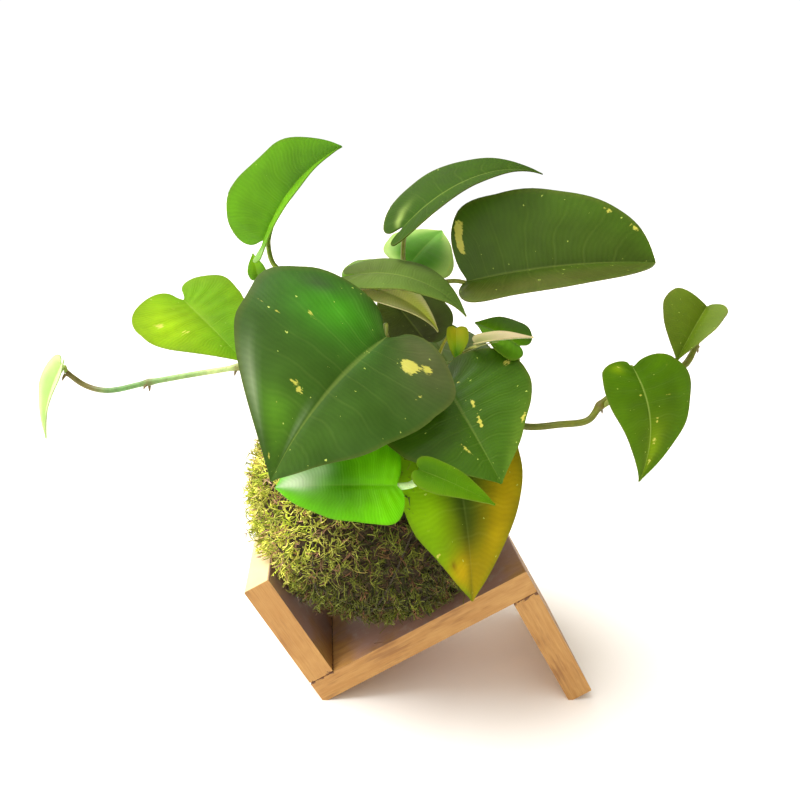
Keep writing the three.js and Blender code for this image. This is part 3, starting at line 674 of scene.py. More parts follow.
# Thin dry hairs that stand off the ball, and a few that have fallen on the seat
def makeStrays():
    draw = random.Random(11)
    bm = bmesh.new()
    layers = [bm.verts.layers.float.new(name) for name in ("tone", "sunny", "dull")]

    # turn: how it bends as a whole. flat: the direction in which it has no slope
    def hair(foot, heading, turn, flat=None):
        points = [foot]
        for k in range(strays["steps"]):
            wander = anyVector(draw) * strays["wander"] + turn
            if flat is not None:
                wander -= flat * wander.dot(flat)
            heading = (heading + wander * 0.5).normalized()
            points.append(points[-1] + heading * draw.uniform(*strays["length"]) / strays["steps"])
        before = set(bm.verts)
        # Darker at the foot as painted shade, as the sprigs are
        growTube(bm, points, lambda share: strays["radius"] * (1 - 0.5 * share),
                 lambda share: (0.5 + 0.3 * share, 0, 0, 1), 4)
        tone = draw.random()
        for vert in set(bm.verts) - before:
            for layer, value in zip(layers, (tone, strays["sunny"], strays["dull"])):
                vert[layer] = value

    standing = 0
    while standing < strays["count"]:
        direction = Vector((draw.gauss(0, 1), draw.gauss(0, 1), draw.gauss(0, 1))).normalized()
        foot = ballCentre + direction * (mossReach(direction) + 1)
        onBoard = pressed(np.array([tuple(foot)]))[0][2] != foot.z
        inNeck = direction.z > strays["neckFrom"]
        if onBoard or inNeck:
            continue
        standing += 1
        side = direction.cross(anyVector(draw))
        hair(foot, (direction * 0.8 + side).normalized(), side * 0.2)
    for count in range(strays["fallen"]):
        foot = standPoint(draw.uniform(*strays["fallenAlong"]), -draw.uniform(*strays["fallenFront"]),
                          stand["thickness"] + 0.3)
        heading = standPoint(draw.uniform(-1, 1), draw.uniform(-1, 1), 0) - standPoint(0, 0, 0)
        hair(foot, heading.normalized(), Vector((0, 0, 0)), Vector((-tiltSin, 0, tiltCos)))
    return meshFrom("mossStrays", bm, 80)


addPiece("mossStrays", makeStrays(), [mossSkin])

print("cord")
cord = {
    "thread": 0.26, "pitch": 3, "lift": 0.1, "steps": 5, "sides": 5,
    "loops": [
        [(-1, 0, 0.05), (-0.7, -0.7, -0.25), (0, -0.8, -0.6), (0.65, -0.6, -0.4), (1, 0, -0.2),
         (0.7, 0.7, -0.1), (0, 1, 0.1), (-0.7, 0.7, 0.1)],
        [(-0.2, 0, -1), (-0.05, -0.7, -0.7), (0.15, -1, 0), (0.35, -0.7, 0.65), (0.55, 0, 0.85),
         (0.4, 0.7, 0.65), (0.1, 1, 0), (-0.1, 0.7, -0.7)],
        [(-0.25, -0.1, -1), (-0.45, -0.75, -0.5), (-0.5, -0.85, 0.1), (-0.55, -0.5, 0.7), (-0.55, 0, 0.85),
         (-0.5, 0.6, 0.65), (-0.4, 0.9, 0), (-0.3, 0.7, -0.7)],
    ],
}

# Waxed two-ply cotton thread: dark brown, slightly fuzzy
waxedThread = speckled("waxedCottonThread", {"Scale": 2500, "Detail": 2}, [(0.35, "2a2416"), (0.7, "4e442c")],
                       Roughness=0.65)


# Thread round the ball: two strands that wind round each other on closed paths over the moss
def makeCord():
    bm = bmesh.new()
    fine = 40
    for route in cord["loops"]:
        around = [Vector(direction).normalized() for direction in route]
        closed = smoothPath([around[-1], *around, around[0], around[1]], fine)[fine:-fine - 1]
        points = [ballCentre + d.normalized() * (mossReach(d.normalized()) + cord["lift"]) for d in closed]
        length = sum((b - a).length for a, b in zip(points, points[1:] + points[:1]))
        count = round(length / cord["pitch"]) * cord["steps"]
        for strand in range(2):
            path = []
            for k in range(count):
                spot = k / count * len(points)
                low = int(spot)
                following = points[(low + 1) % len(points)]
                here = points[low].lerp(following, spot - low)
                ahead = (following - points[low]).normalized()
                outward = (here - ballCentre).normalized()
                angle = 2 * math.pi * (k / cord["steps"]) + strand * math.pi
                offset = outward * math.cos(angle) + ahead.cross(outward) * math.sin(angle)
                path.append(here + offset * cord["thread"])
            growTube(bm, pressedVectors(path), lambda share: cord["thread"], lambda share: (1, 1, 1, 1),
                     cord["sides"], loop=True)
    return meshFrom("thread", bm, 80)


addPiece("windingThread", makeCord(), [waxedThread], ["binding_cord"])


print("leaf and stem materials")
leafSkin = {
    "veins": 9, "fineVeins": 54, "vein": "b9cf6a", "veinShare": 0.055, "ribFrom": 0.004, "ribTo": 0.014,
    "streaks": ("bab632", "d2d070"), "streakStretch": (14, 60, 1), "streakShare": 0.85,
    "speck": "b4c860", "speckStretch": (14, 34, 1), "speckSizes": (0.02, 0.17), "speckShare": 0.42,
    "back": "9db56a", "backShare": 0.35, "backVein": "c3d191", "backVeinShare": 0.15,
    "tipFrom": 0.2, "marginFrom": 0.4, "marginShare": 0.7, "rim": "6a6a2c", "rimFrom": 0.97, "rimShare": 0.25,
    "stemFreckle": "6b5526", "stemFreckleShare": 0.6,
}


# Waves between the side veins: 0 on a vein, 0.5 halfway to the next
def betweenVeins(tree, height, count):
    phase = node(tree, "ShaderNodeMath", {0: height, 1: count}, operation="MULTIPLY")
    return node(tree, "ShaderNodeMath", {0: phase, 1: 0.5}, operation="PINGPONG")


# Waxed leaf blade: glossy green with paler veins, quilting between them, crisp yellow streaks, pale specks.
# The tint colours hold its green, and the marks how yellow, how speckled and how pale along the midrib it is
def waxedLeaf(name, roughness, coat, shine):
    material, tree, shader = newMaterial(
        name, IOR=1.4, Specular_IOR_Level=shine, Coat_Weight=coat, Coat_Roughness=0.25, Coat_IOR=1.4,
        Subsurface_Weight=0.15, Subsurface_Scale=0.001)
    shader.inputs["Subsurface Radius"].default_value = (0.6, 1.0, 0.25)
    blade = node(tree, "ShaderNodeUVMap", uv_map="blade")
    place = node(tree, "ShaderNodeTexCoord", out="Object")
    tint = node(tree, "ShaderNodeVertexColor", layer_name="tint")
    allMarks = node(tree, "ShaderNodeVertexColor", layer_name="marks")
    marks = node(tree, "ShaderNodeSeparateColor", {0: allMarks})
    yellow, specks, paleRib = list(marks.node.outputs)
    across, upTheRib = list(node(tree, "ShaderNodeSeparateXYZ", {0: blade}).node.outputs)[:2]
    fromMiddle = node(tree, "ShaderNodeMath", {0: across, 1: 0.5}, operation="SUBTRACT")
    fromRib = node(tree, "ShaderNodeMath", {0: fromMiddle}, operation="ABSOLUTE")

    # Side veins: lines of even height on the blade's own map, which arch as the veins do
    bent = node(tree, "ShaderNodeTexNoise", {"Vector": blade, "Scale": 5, "Detail": 1})
    height = node(tree, "ShaderNodeMath", {0: bent, 1: 0.05, 2: upTheRib}, operation="MULTIPLY_ADD")
    vein = betweenVeins(tree, height, leafSkin["veins"])
    veinLine = node(tree, "ShaderNodeMapRange", {0: vein, 1: 0.0, 2: 0.07, 3: 1.0, 4: 0.0})
    fineVein = betweenVeins(tree, height, leafSkin["fineVeins"])
    veinFade = node(tree, "ShaderNodeMapRange", {0: fromRib, 1: 0.1, 2: 0.46, 3: 1.0, 4: 0.1})
    veins = node(tree, "ShaderNodeMath", {0: veinLine, 1: veinFade}, operation="MULTIPLY")
    veinShare = node(tree, "ShaderNodeMath", {0: veins, 1: leafSkin["veinShare"]}, operation="MULTIPLY")
    rib = node(tree, "ShaderNodeMapRange", {
        0: fromRib, 1: leafSkin["ribFrom"], 2: leafSkin["ribTo"], 3: 1.0, 4: 0.0})
    ribShare = node(tree, "ShaderNodeMath", {0: rib, 1: paleRib}, operation="MULTIPLY")
    paleVein = node(tree, "ShaderNodeMix", {0: 0.5, 6: tint, 7: linear(leafSkin["vein"])}, **inColour)

    # Tone: soft clouds and cell grain on the leaf's own green
    cloud = node(tree, "ShaderNodeTexNoise", {"Vector": place, "Scale": 90, "Detail": 3})
    grain = node(tree, "ShaderNodeTexNoise", {"Vector": place, "Scale": 900, "Detail": 2})
    cloudTone = node(tree, "ShaderNodeMapRange", {0: cloud, 1: 0.3, 2: 0.7, 3: 0.86, 4: 1.12})
    fineTone = node(tree, "ShaderNodeMapRange", {0: fineVein, 1: 0.0, 2: 0.5, 3: 1.05, 4: 0.97})
    tone = node(tree, "ShaderNodeMath", {0: cloudTone, 1: fineTone}, operation="MULTIPLY")
    colour = node(tree, "ShaderNodeVectorMath", {0: tint, "Scale": tone}, operation="SCALE")

    # Yellow streaks follow the side veins, and break up towards their ends
    stretched = node(tree, "ShaderNodeMapping", {"Vector": blade, "Scale": leafSkin["streakStretch"]})
    streaks = node(tree, "ShaderNodeTexNoise", {
        "Vector": stretched, "Scale": 1, "Detail": 5, "Roughness": 0.72})
    streakSum = node(tree, "ShaderNodeMath", {0: streaks, 1: yellow}, operation="ADD")
    streakMask = node(tree, "ShaderNodeMapRange", {
        0: streakSum, 1: 1.0, 2: 1.08, 3: 0.0, 4: leafSkin["streakShare"]})
    first, second = [linear(hexText) for hexText in leafSkin["streaks"]]
    streakHue = node(tree, "ShaderNodeMix", {0: cloud, 6: first, 7: second}, **inColour)

    # Pale specks: ragged spots in some cells, drawn out across the blade
    ragged = node(tree, "ShaderNodeTexNoise", {"Vector": place, "Scale": 1400, "Detail": 1}, out="Color")
    drawnOut = node(tree, "ShaderNodeMapping", {"Vector": blade, "Scale": leafSkin["speckStretch"]})
    spread = node(tree, "ShaderNodeMix", {0: 0.3, 4: drawnOut, 5: ragged}, out=1, data_type="VECTOR")
    cells = node(tree, "ShaderNodeTexVoronoi", {"Vector": spread, "Scale": 1.8})
    cellPick = node(tree, "ShaderNodeSeparateColor", {0: cells.node.outputs["Color"]})
    smallest, largest = leafSkin["speckSizes"]
    cellSize = node(tree, "ShaderNodeMapRange", {0: cellPick.node.outputs[1], 3: smallest, 4: largest})
    inSpeck = node(tree, "ShaderNodeMath", {0: cells, 1: cellSize}, operation="LESS_THAN")
    chosen = node(tree, "ShaderNodeMath", {0: specks, 1: leafSkin["speckShare"]}, operation="MULTIPLY")
    picked = node(tree, "ShaderNodeMath", {0: cellPick, 1: chosen}, operation="LESS_THAN")
    speckMask = node(tree, "ShaderNodeMath", {0: inSpeck, 1: picked}, operation="MULTIPLY")

    layers = ((veinShare, paleVein), (ribShare, paleVein), (streakMask, streakHue),
              (speckMask, linear(leafSkin["speck"])))
    for mask, over in layers:
        colour = node(tree, "ShaderNodeMix", {0: mask, 6: colour, 7: over}, **inColour)
    rough = node(tree, "ShaderNodeMapRange", {
        0: cloud, 1: 0.3, 2: 0.7, 3: roughness - 0.05, 4: roughness + 0.08})
    tree.links.new(rough, shader.inputs["Roughness"])
    veinHeight = node(tree, "ShaderNodeMath", {0: veins, 1: -1.0, 2: fineVein}, operation="MULTIPLY_ADD")
    allHeight = node(tree, "ShaderNodeMath", {0: grain, 1: 0.5, 2: veinHeight}, operation="MULTIPLY_ADD")
    surface(tree, shader, colour, allHeight, 0.16, 0.4)
    return material


# Leaf underside: dull, paler green with raised veins
def dullLeafBack():
    material, tree, shader = newMaterial(
        "dullLeafBack", Roughness=0.6, IOR=1.4, Specular_IOR_Level=0.3, Subsurface_Weight=0.15,
        Subsurface_Scale=0.001)
    tint = node(tree, "ShaderNodeVertexColor", layer_name="tint")
    blade = node(tree, "ShaderNodeUVMap", uv_map="blade")
    upTheRib = node(tree, "ShaderNodeSeparateXYZ", {0: blade}, out=1)
    vein = betweenVeins(tree, upTheRib, leafSkin["veins"])
    line = node(tree, "ShaderNodeMapRange", {0: vein, 1: 0.0, 2: 0.1, 3: 1.0, 4: 0.0})
    lineShare = node(tree, "ShaderNodeMath", {0: line, 1: leafSkin["backVeinShare"]}, operation="MULTIPLY")
    colour = tint
    for mask, over in ((leafSkin["backShare"], "back"), (lineShare, "backVein")):
        colour = node(tree, "ShaderNodeMix", {0: mask, 6: colour, 7: linear(leafSkin[over])}, **inColour)
    surface(tree, shader, colour, line, 0.3, 0.4)
    return material


# Fresh stem: smooth green skin with long faint stripes and brown freckles, slightly shiny
def freshStem():
    material, tree, shader = newMaterial("freshStem", IOR=1.42, Roughness=0.42, Subsurface_Weight=0.15,
                                         Subsurface_Scale=0.0015)
    tint = node(tree, "ShaderNodeVertexColor", layer_name="tint")
    place = node(tree, "ShaderNodeTexCoord", out="Object")
    stripes = node(tree, "ShaderNodeTexNoise", {"Vector": place, "Scale": 420, "Detail": 3})
    freckles = node(tree, "ShaderNodeTexNoise", {"Vector": place, "Scale": 1300, "Detail": 1})
    tone = node(tree, "ShaderNodeMapRange", {0: stripes, 1: 0.3, 2: 0.7, 3: 0.8, 4: 1.18})
    toned = node(tree, "ShaderNodeVectorMath", {0: tint, "Scale": tone}, operation="SCALE")
    freckleMask = node(tree, "ShaderNodeMapRange", {
        0: freckles, 1: 0.66, 2: 0.72, 3: 0.0, 4: leafSkin["stemFreckleShare"]})
    brown = linear(leafSkin["stemFreckle"])
    freckled = node(tree, "ShaderNodeMix", {0: freckleMask, 6: toned, 7: brown}, **inColour)
    surface(tree, shader, freckled, stripes, 0.3, 0.3)
    return material


glossyBlade = waxedLeaf("waxedLeafGlossy", 0.38, 0.12, 0.22)
mattBlade = waxedLeaf("waxedLeafMatt", 0.55, 0.0, 0.1)
bladeBack = dullLeafBack()
stemSkin = freshStem()

print("leaves")
bladeShape = {
    "thickness": 0.45, "widest": 0.45, "tipHalfWidth": 0.35, "ribSteps": 40, "stalkEnd": 0.04,
    "grid": (34, 46), "smallGrid": (20, 26), "edgeCrowding": 1.25,
    "ribChannel": 0.45, "ribWidth": 1.3, "quilt": 0.16, "ripple": 0.8, "rippleScale": 4.5, "waver": 0.09,
    "waverScale": 6.5,
    "stalkRadius": 1.15, "smallStalkRadius": 0.8, "stalkFoot": 1.25, "stalkNeck": 0.9, "underRibEnd": 0.2,
    "stalkSteps": 7, "stalkSides": 8, "stalkTint": "a8ae4a", "stalkTintShare": 0.6,
    "underRib": (0.12, 0.25, 0.4, 0.6),
}

# base, tip, face, right, left, lobe, fold, cup, bend, curl, bow, wave, small, stalk: as in the imported model,
# but for the lobe and stalk of leaf_06. full: how broad the tip is, 0 to 1. green: at the stalk, at the tip,
# at the margin; on some leaves it is brightened as painted glow of light through the blade. Soft areas, each
# (s, t, size in s, size in t, hex, strength): the leaf's own lighter, darker and greyer tones, and on some
# leaves painted sheen, highlights, glow and shadow. streaks: yellow marks, each (s, t, size in s, size in t,
# strength).
# specks: share of pale dots. rib: how pale the midrib is. matt: a dull surface. stem, stemGreen: radius and
# green of the stalk
leaves = {
    "leaf_01": {
        "base": (-35, -4, 201), "tip": (-6, -8, 240), "face": (-0.6, -0.8, 0.6), "right": 24, "left": 20,
        "lobe": 0.12, "fold": 42, "cup": 10, "bend": 20, "bow": -5, "full": 0.7,
        "stalk": [(-12, 5, 180), (-21, -3, 186), (-31, -5, 192)],
        # Its greens are brightened as painted glow of light through the blade
        "green": ("599005", "508605", "5b9705"), "specks": 0.15,
    },
    "leaf_02": {
        "base": (-71, 16, 171), "tip": (-42, -8, 151), "face": (0.2, -0.7, 0.7), "right": 26, "left": 23,
        "lobe": 0.22, "fold": 8, "cup": 10, "bend": 10,
        "stalk": [(-4, 7, 174), (-28, 18, 164), (-52, 23, 160), (-66, 20, 167)],
        # Its greens and its bright blot are brightened as painted glow of light through the blade
        "green": ("619010", "5c8d10", "6c9510"), "specks": 0.2,
        "streaks": [(0.68, 0.44, 0.2, 0.05, 0.6), (0.35, 0.3, 0.2, 0.04, 0.55), (0.5, 0.6, 0.2, 0.04, 0.58)],
        "tonesAndPaintedLight": [(0.6, 0.45, 0.6, 0.3, "a8cc10", 0.5)], "matt": True, "rib": 0.25,
    },
    "leaf_03": {
        "base": (14, -44, 173), "tip": (-25, -76, 127), "face": (0.05, -1, 0.5), "right": 48, "left": 36,
        "lobe": 0.14, "fold": 8, "cup": 18, "bend": 10, "curl": 10, "bow": 4, "wave": 1,
        "stalk": [(19, -15, 160), (15, -28, 172), (14, -38, 176)],
        "green": ("2e4e13", "385b14", "2f4e16"), "specks": 0.5,
        "streaks": [
            (-0.47, 0.3, 0.12, 0.055, 1.0), (-0.7, 0.28, 0.1, 0.035, 0.72), (-0.72, 0.42, 0.06, 0.03, 0.6),
            (0.88, 0.5, 0.05, 0.02, 0.68), (0.7, 0.5, 0.08, 0.018, 0.62), (0.33, 0.69, 0.11, 0.018, 0.7),
            (0.12, 0.64, 0.08, 0.018, 0.62), (0.25, 0.72, 0.08, 0.018, 0.66), (0.5, 0.79, 0.06, 0.03, 0.66),
            (0.7, 0.93, 0.1, 0.02, 0.75), (-0.47, 0.55, 0.03, 0.05, 0.66), (0.47, 0.41, 0.12, 0.03, 0.56),
            (0.1, 0.8, 0.05, 0.04, 0.55)],
        # The dark blot near the notch is a painted shadow, the two pale blots towards the tip painted sheen;
        # the others lighten, darken and grey the blade's green in places
        "tonesAndPaintedLight": [
            (0.5, 0.3, 0.4, 0.16, "3f9410", 0.7), (-0.75, 0.22, 0.4, 0.2, "5a5e3c", 0.7),
            (0.8, 0.3, 0.12, 0.06, "34422a", 0.75), (0.5, 0.82, 0.3, 0.08, "5f9a1c", 0.5),
            (0.87, 0.76, 0.07, 0.1, "b0c09c", 0.42), (0.08, 0.82, 0.04, 0.08, "8fa87c", 0.4)],
        "rib": 0.3,
    },
    "leaf_04": {
        "base": (39, -38, 155), "tip": (60, -64, 124), "face": (-0.1, -0.74, 0.67), "right": 32, "left": 33,
        "lobe": 0.18, "fold": 5, "cup": 15, "bend": 15,
        "stalk": [(27, -28, 163), (33, -32, 166), (37, -36, 162)],
        "green": ("335707", "375b05", "375c08"), "specks": 0.5,
        "streaks": [
            (-0.17, 0.5, 0.05, 0.06, 0.74), (-0.15, 0.65, 0.05, 0.07, 0.8), (0.35, 0.76, 0.05, 0.07, 0.8),
            (-0.2, 0.25, 0.06, 0.05, 0.6), (-0.93, 0.69, 0.1, 0.04, 0.72), (-0.85, 0.37, 0.14, 0.03, 0.66)],
        # The dark blot along the top, by the stalk, is a painted shadow of leaf_03's edge
        "tonesAndPaintedLight": [(-0.6, 0.1, 0.7, 0.12, "33401c", 0.7), (-0.9, 0.8, 0.2, 0.2, "5a7a20", 0.6)],
        "rib": 0.2,
    },
    "leaf_05": {
        "base": (42, -38, 137), "tip": (56, -60, 70), "face": (0.15, -1, 0.3), "right": 28, "left": 28,
        "lobe": 0.12, "fold": 8, "cup": 25, "bend": 45,
        "stalk": [(31, -34, 155), (36, -34, 148)],
        # Its greens are brightened as painted glow of light through the blade
        "green": ("386305", "6c6705", "456c05"), "specks": 0.3,
        "streaks": [
            (0.75, 0.68, 0.07, 0.025, 0.66), (0.9, 0.76, 0.1, 0.03, 0.68), (0.6, 0.6, 0.04, 0.02, 0.62)],
        "tonesAndPaintedLight": [
            (0.75, 0.5, 0.5, 0.35, "86bc04", 0.9), (-0.75, 0.62, 0.36, 0.4, "a89206", 0.9),
            (0.0, 0.62, 0.24, 0.26, "263a0a", 0.85), (0.1, 0.3, 0.5, 0.2, "4a8010", 0.6),
            (0.55, 0.87, 0.5, 0.06, "b89a06", 0.85), (-0.3, 0.9, 0.4, 0.08, "9a8808", 0.7),
            (0.7, 0.83, 0.07, 0.015, "6a3c08", 0.8)],
        "matt": True, "rib": 0.12,
    },
    "leaf_06": {
        "base": (21, -60, 120), "tip": (-24, -64, 119), "face": (0, -1, 0.9), "right": 24, "left": 15,
        "lobe": 0.05, "fold": 5, "cup": 25, "bend": 20, "full": 0.5,
        "stalk": [(30, -56, 121), (26, -59.5, 120)],
        # Its greens are brightened as painted glow of light through the blade
        "green": ("74d505", "56a30d", "67c905"), "specks": 0.05, "stem": 1.5, "stemGreen": "f4f4dc",
        "rib": 0.15,
        # The bright blot by the stalk is painted glow, the two pale blots towards the tip painted sheen, and
        # the dark blot a darker band across the middle
        "tonesAndPaintedLight": [
            (0.0, 0.66, 0.9, 0.14, "2c6808", 0.55), (0.1, 0.12, 0.9, 0.2, "7cd405", 0.35),
            (0.25, 0.9, 0.5, 0.1, "dcead0", 0.75), (0.4, 0.76, 0.2, 0.07, "b4d0a8", 0.5)],
    },
    "leaf_07": {
        "base": (27, -70, 131), "tip": (55, -76, 121), "face": (0.1, -0.8, 1), "right": 7, "left": 7,
        "lobe": 0.05, "fold": 25, "cup": 50, "bend": 20, "small": True,
        "stalk": [(32, -53, 127), (31, -62, 126)],
        "green": ("3c6505", "4b7605", "517905"), "specks": 0.1, "matt": True, "rib": 0.2,
    },
    "leaf_08": {
        "base": (2, -17, 192), "tip": (47, -28, 180), "face": (0, -0.3, 1), "right": 14, "left": 23,
        "lobe": 0.15, "fold": 5, "cup": 20, "bend": 60, "curl": 10,
        "stalk": [(3, -18, 170), (-1, -19, 181)],
        "green": ("5d7532", "4f6b29", "57722c"), "specks": 0.1, "matt": True,
        "streaks": [(-1, 0.85, 0.1, 0.04, 0.5)],
    },
    "leaf_09": {
        "base": (3, -9, 186), "tip": (38, -18, 171), "face": (0.2, -0.6, 1), "right": 11, "left": 10,
        "lobe": 0.05, "fold": 20, "cup": 20, "bend": 50, "curl": 20, "small": True,
        "stalk": [(7, -12, 158), (6, -8, 176)],
        "green": ("fff2bc", "d2de50", "fff8c4"), "specks": 0.4,
        "streaks": [(0.0, 0.4, 1.2, 0.3, 0.5)],
        "tonesAndPaintedLight": [(0.2, 0.3, 0.5, 0.3, "d8c09a", 0.8), (0.6, 0.85, 0.5, 0.2, "9aa030", 0.7)],
    },
    "leaf_10": {
        "base": (21, -4, 211), "tip": (77, -4, 237), "face": (-0.35, -0.35, 1), "right": 12, "left": 25,
        "lobe": 0.12, "fold": 8, "cup": 10, "bend": 50, "curl": 20,
        "stalk": [(27, 7, 186), (23, 2, 198)],
        "green": ("2b4a05", "2f4b06", "2b4a05"), "specks": 0.1,
        # The pale blot on the fold is a painted highlight
        "tonesAndPaintedLight": [(-0.45, 0.2, 0.12, 0.12, "b4d070", 0.45)], "matt": True,
    },
    "leaf_11": {
        "base": (28, 10, 196), "tip": (43, 28, 209), "face": (0, -0.7, 1), "right": 17, "left": 17,
        "lobe": 0.15, "fold": 5, "cup": 20, "bend": 20, "small": True,
        "stalk": [(26, 9, 176), (29, 12, 187)],
        "green": ("55962a", "6aa23e", "c0dc80"), "specks": 0.4,
        "streaks": [(0.9, 0.5, 0.15, 0.35, 0.52), (-0.85, 0.4, 0.15, 0.35, 0.52), (0.6, 0.85, 0.3, 0.1, 0.5)],
    },
    "leaf_12": {
        "base": (50, -6, 191), "tip": (127, -16, 206), "face": (0.05, -0.72, 0.7), "right": 19, "left": 34,
        "lobe": 0.03, "fold": 30, "cup": 6, "bend": 25, "full": 0.9,
        "stalk": [(26, 8, 180), (38, 6, 187), (46, 0, 190)],
        "green": ("39550e", "3b5311", "3d5d0e"), "specks": 0.6,
        "streaks": [
            (-0.68, 0.21, 0.18, 0.035, 0.78), (-0.87, 0.28, 0.12, 0.045, 0.8), (-0.78, 0.24, 0.08, 0.04, 0.5),
            (-0.92, 0.86, 0.1, 0.03, 0.7), (-0.9, 0.76, 0.08, 0.03, 0.6)],
        "tonesAndPaintedLight": [(0.7, 0.5, 0.5, 0.6, "464c1c", 0.9)], "rib": 0.25,
    },
    "leaf_13": {
        "base": (51, -32, 170), "tip": (73, -36, 175), "face": (0, -0.5, 1), "right": 4, "left": 4,
        "lobe": 0.03, "fold": 50, "cup": 10, "bend": 15, "small": True,
        "stalk": [(44, -10, 152), (49, -22, 164)],
        "green": ("8f9560", "c9bda0", "b9ad84"), "specks": 0.0, "matt": True,
    },
    "leaf_14": {
        "base": (71, -26, 169), "tip": (53, -18, 176), "face": (0, -0.4, 1), "right": 16, "left": 13,
        "lobe": 0.15, "fold": 10, "cup": 20, "bend": 20, "small": True,
        "stalk": [(58, -15, 146), (72, -20, 156)],
        "green": ("4c7d05", "517f05", "4a7d05"), "specks": 0.1,
    },
    "leaf_15": {
        "base": (36, -4, 163), "tip": (13, 0, 187), "face": (0, -1, 0.5), "right": 19, "left": 19,
        "lobe": 0.1, "fold": 5, "cup": 20, "bend": 10,
        "stalk": [(24, 10, 160), (31, 5, 166)],
        "green": ("4f5632", "57682e", "5b7032"), "specks": 0.5,
    },
    "leaf_16": {
        "base": (-38, 8, 184), "tip": (-41, 10, 194), "face": (-0.2, -1, 0.4), "right": 4, "left": 4,
        "lobe": 0.05, "fold": 15, "cup": 20, "bend": 20, "small": True,
        "stalk": [(-17, 4, 184), (-24, 9, 181), (-32, 10, 178)],
        "green": ("4c7b05", "76ae05", "599405"), "specks": 0.0,
    },
    "leaf_17": {
        "base": (44, -24, 174), "tip": (45, -27, 161), "face": (0.2, -1, 0.4), "right": 5, "left": 5,
        "lobe": 0.05, "fold": 25, "cup": 20, "bend": 20, "small": True,
        "stalk": [(40, -8, 153), (41, -17, 166)],
        "green": ("a7a812", "438c05", "829807"), "specks": 0.1,
    },
    "leaf_18": {
        "base": (119, -30, 164), "tip": (130, -34, 114), "face": (0.15, -1, 0.25), "right": 17, "left": 24,
        "lobe": 0.06, "fold": 8, "cup": 20, "bend": 15, "bow": -6,
        "stalk": [(111, -24, 144), (117.5, -27.5, 152)],
        "green": ("446b05", "476405", "497005"), "specks": 0.4,
        "streaks": [
            (0.75, 0.2, 0.12, 0.03, 0.62), (0.15, 0.46, 0.08, 0.03, 0.6), (-0.16, 0.66, 0.1, 0.03, 0.62),
            (-0.17, 0.79, 0.16, 0.04, 0.64), (0.47, 0.47, 0.1, 0.02, 0.56), (-0.35, 0.42, 0.1, 0.015, 0.6),
            (-0.45, 0.5, 0.12, 0.015, 0.6), (-0.25, 0.9, 0.2, 0.03, 0.66), (-0.75, 0.3, 0.08, 0.02, 0.6)],
        "tonesAndPaintedLight": [(-0.2, 0.82, 0.3, 0.14, "7c9c10", 0.6), (0.7, 0.22, 0.2, 0.05, "86a810", 0.6)],
        "matt": True, "rib": 0.6,
    },
    "leaf_19": {
        "base": (155, -14, 189), "tip": (142, -22, 166), "face": (-0.6, -0.8, 0.6), "right": 17, "left": 11,
        "lobe": 0.03, "fold": 38, "cup": 20, "bend": 20, "small": True,
        "stalk": [(153, -16, 172), (154.5, -14.5, 180)],
        "green": ("4f650b", "49600b", "536a0f"), "specks": 0.3,
    },
    "leaf_20": {
        "base": (-113, -16, 147), "tip": (-120, -18, 116), "face": (-0.8, -0.6, 0.2), "right": 8, "left": 8,
        "lobe": 0.1, "fold": 25, "cup": 20, "bend": 20, "bow": 2, "small": True,
        "stalk": [(-111, -16, 144)],
        "green": ("a2c870", "9cc468", "c4dca0"), "specks": 0.0,
    },
    "leaf_21": {
        "base": (1, 5, 186), "tip": (15, 7, 196), "face": (0, -0.8, 1), "right": 7, "left": 7,
        "lobe": 0.1, "fold": 15, "cup": 30, "bend": 20, "small": True,
        "stalk": [(9, -8, 148), (2, 2, 172)],
        "green": ("517d05", "758c05", "5b8605"), "specks": 0.3,
    },
    "leaf_22": {
        "base": (8, 44, 158), "tip": (-8, 72, 108), "face": (-0.3, 1, 0.5), "right": 28, "left": 28,
        "lobe": 0.15, "fold": 8, "cup": 15, "bend": 30,
        "stalk": [(32, 34, 159), (20, 38, 166)],
        "green": ("2e5013", "305414", "335915"), "specks": 0.4,
    },
    "leaf_23": {
        "base": (38, 56, 154), "tip": (50, 78, 100), "face": (0.2, 1, 0.4), "right": 30, "left": 30,
        "lobe": 0.15, "fold": 6, "cup": 15, "bend": 30,
        "stalk": [(30, 46, 148), (34, 54, 154)],
        "green": ("365e07", "3b6607", "3f6a08"), "specks": 0.5,
    },
    "leaf_24": {
        "base": (54, 30, 160), "tip": (76, 46, 120), "face": (0.8, 0.6, 0.7), "right": 22, "left": 22,
        "lobe": 0.15, "fold": 10, "cup": 15, "bend": 30,
        "stalk": [(33, 24, 160), (44, 28, 164)],
        "green": ("345e0d", "38640f", "3f6915"), "specks": 0.3,
    },
    "leaf_25": {
        "base": (-8, 34, 172), "tip": (-36, 58, 150), "face": (-0.5, 0.4, 1), "right": 22, "left": 22,
        "lobe": 0.15, "fold": 10, "cup": 15, "bend": 30,
        "stalk": [(3, 8, 164), (-2, 22, 174)],
        "green": ("30560f", "375f13", "3b6215"), "specks": 0.3,
    },
}


# Half outline of the blade: half a unit wide, one unit long. full: how broad it stays towards the tip, 0 to 1
def outlinePoint(t, lobe, full):
    widest = bladeShape["widest"]
    if t < widest:
        points = [(0.05, -0.45 * lobe), (0.12, -1.7 * lobe), (0.56, -0.1), (0.5, 0.2)]
        x = t / widest
    else:
        points = [(0.5, 0.2), (0.5, 0.5 + 0.12 * full), (0.17 + 0.2 * full, 0.8 + 0.13 * full), (0, 1)]
        x = (t - widest) / (1 - widest)
    weights = ((1 - x) ** 3, 3 * x * (1 - x) ** 2, 3 * x * x * (1 - x), x**3)
    return [sum(w * p[i] for w, p in zip(weights, points)) for i in (0, 1)]


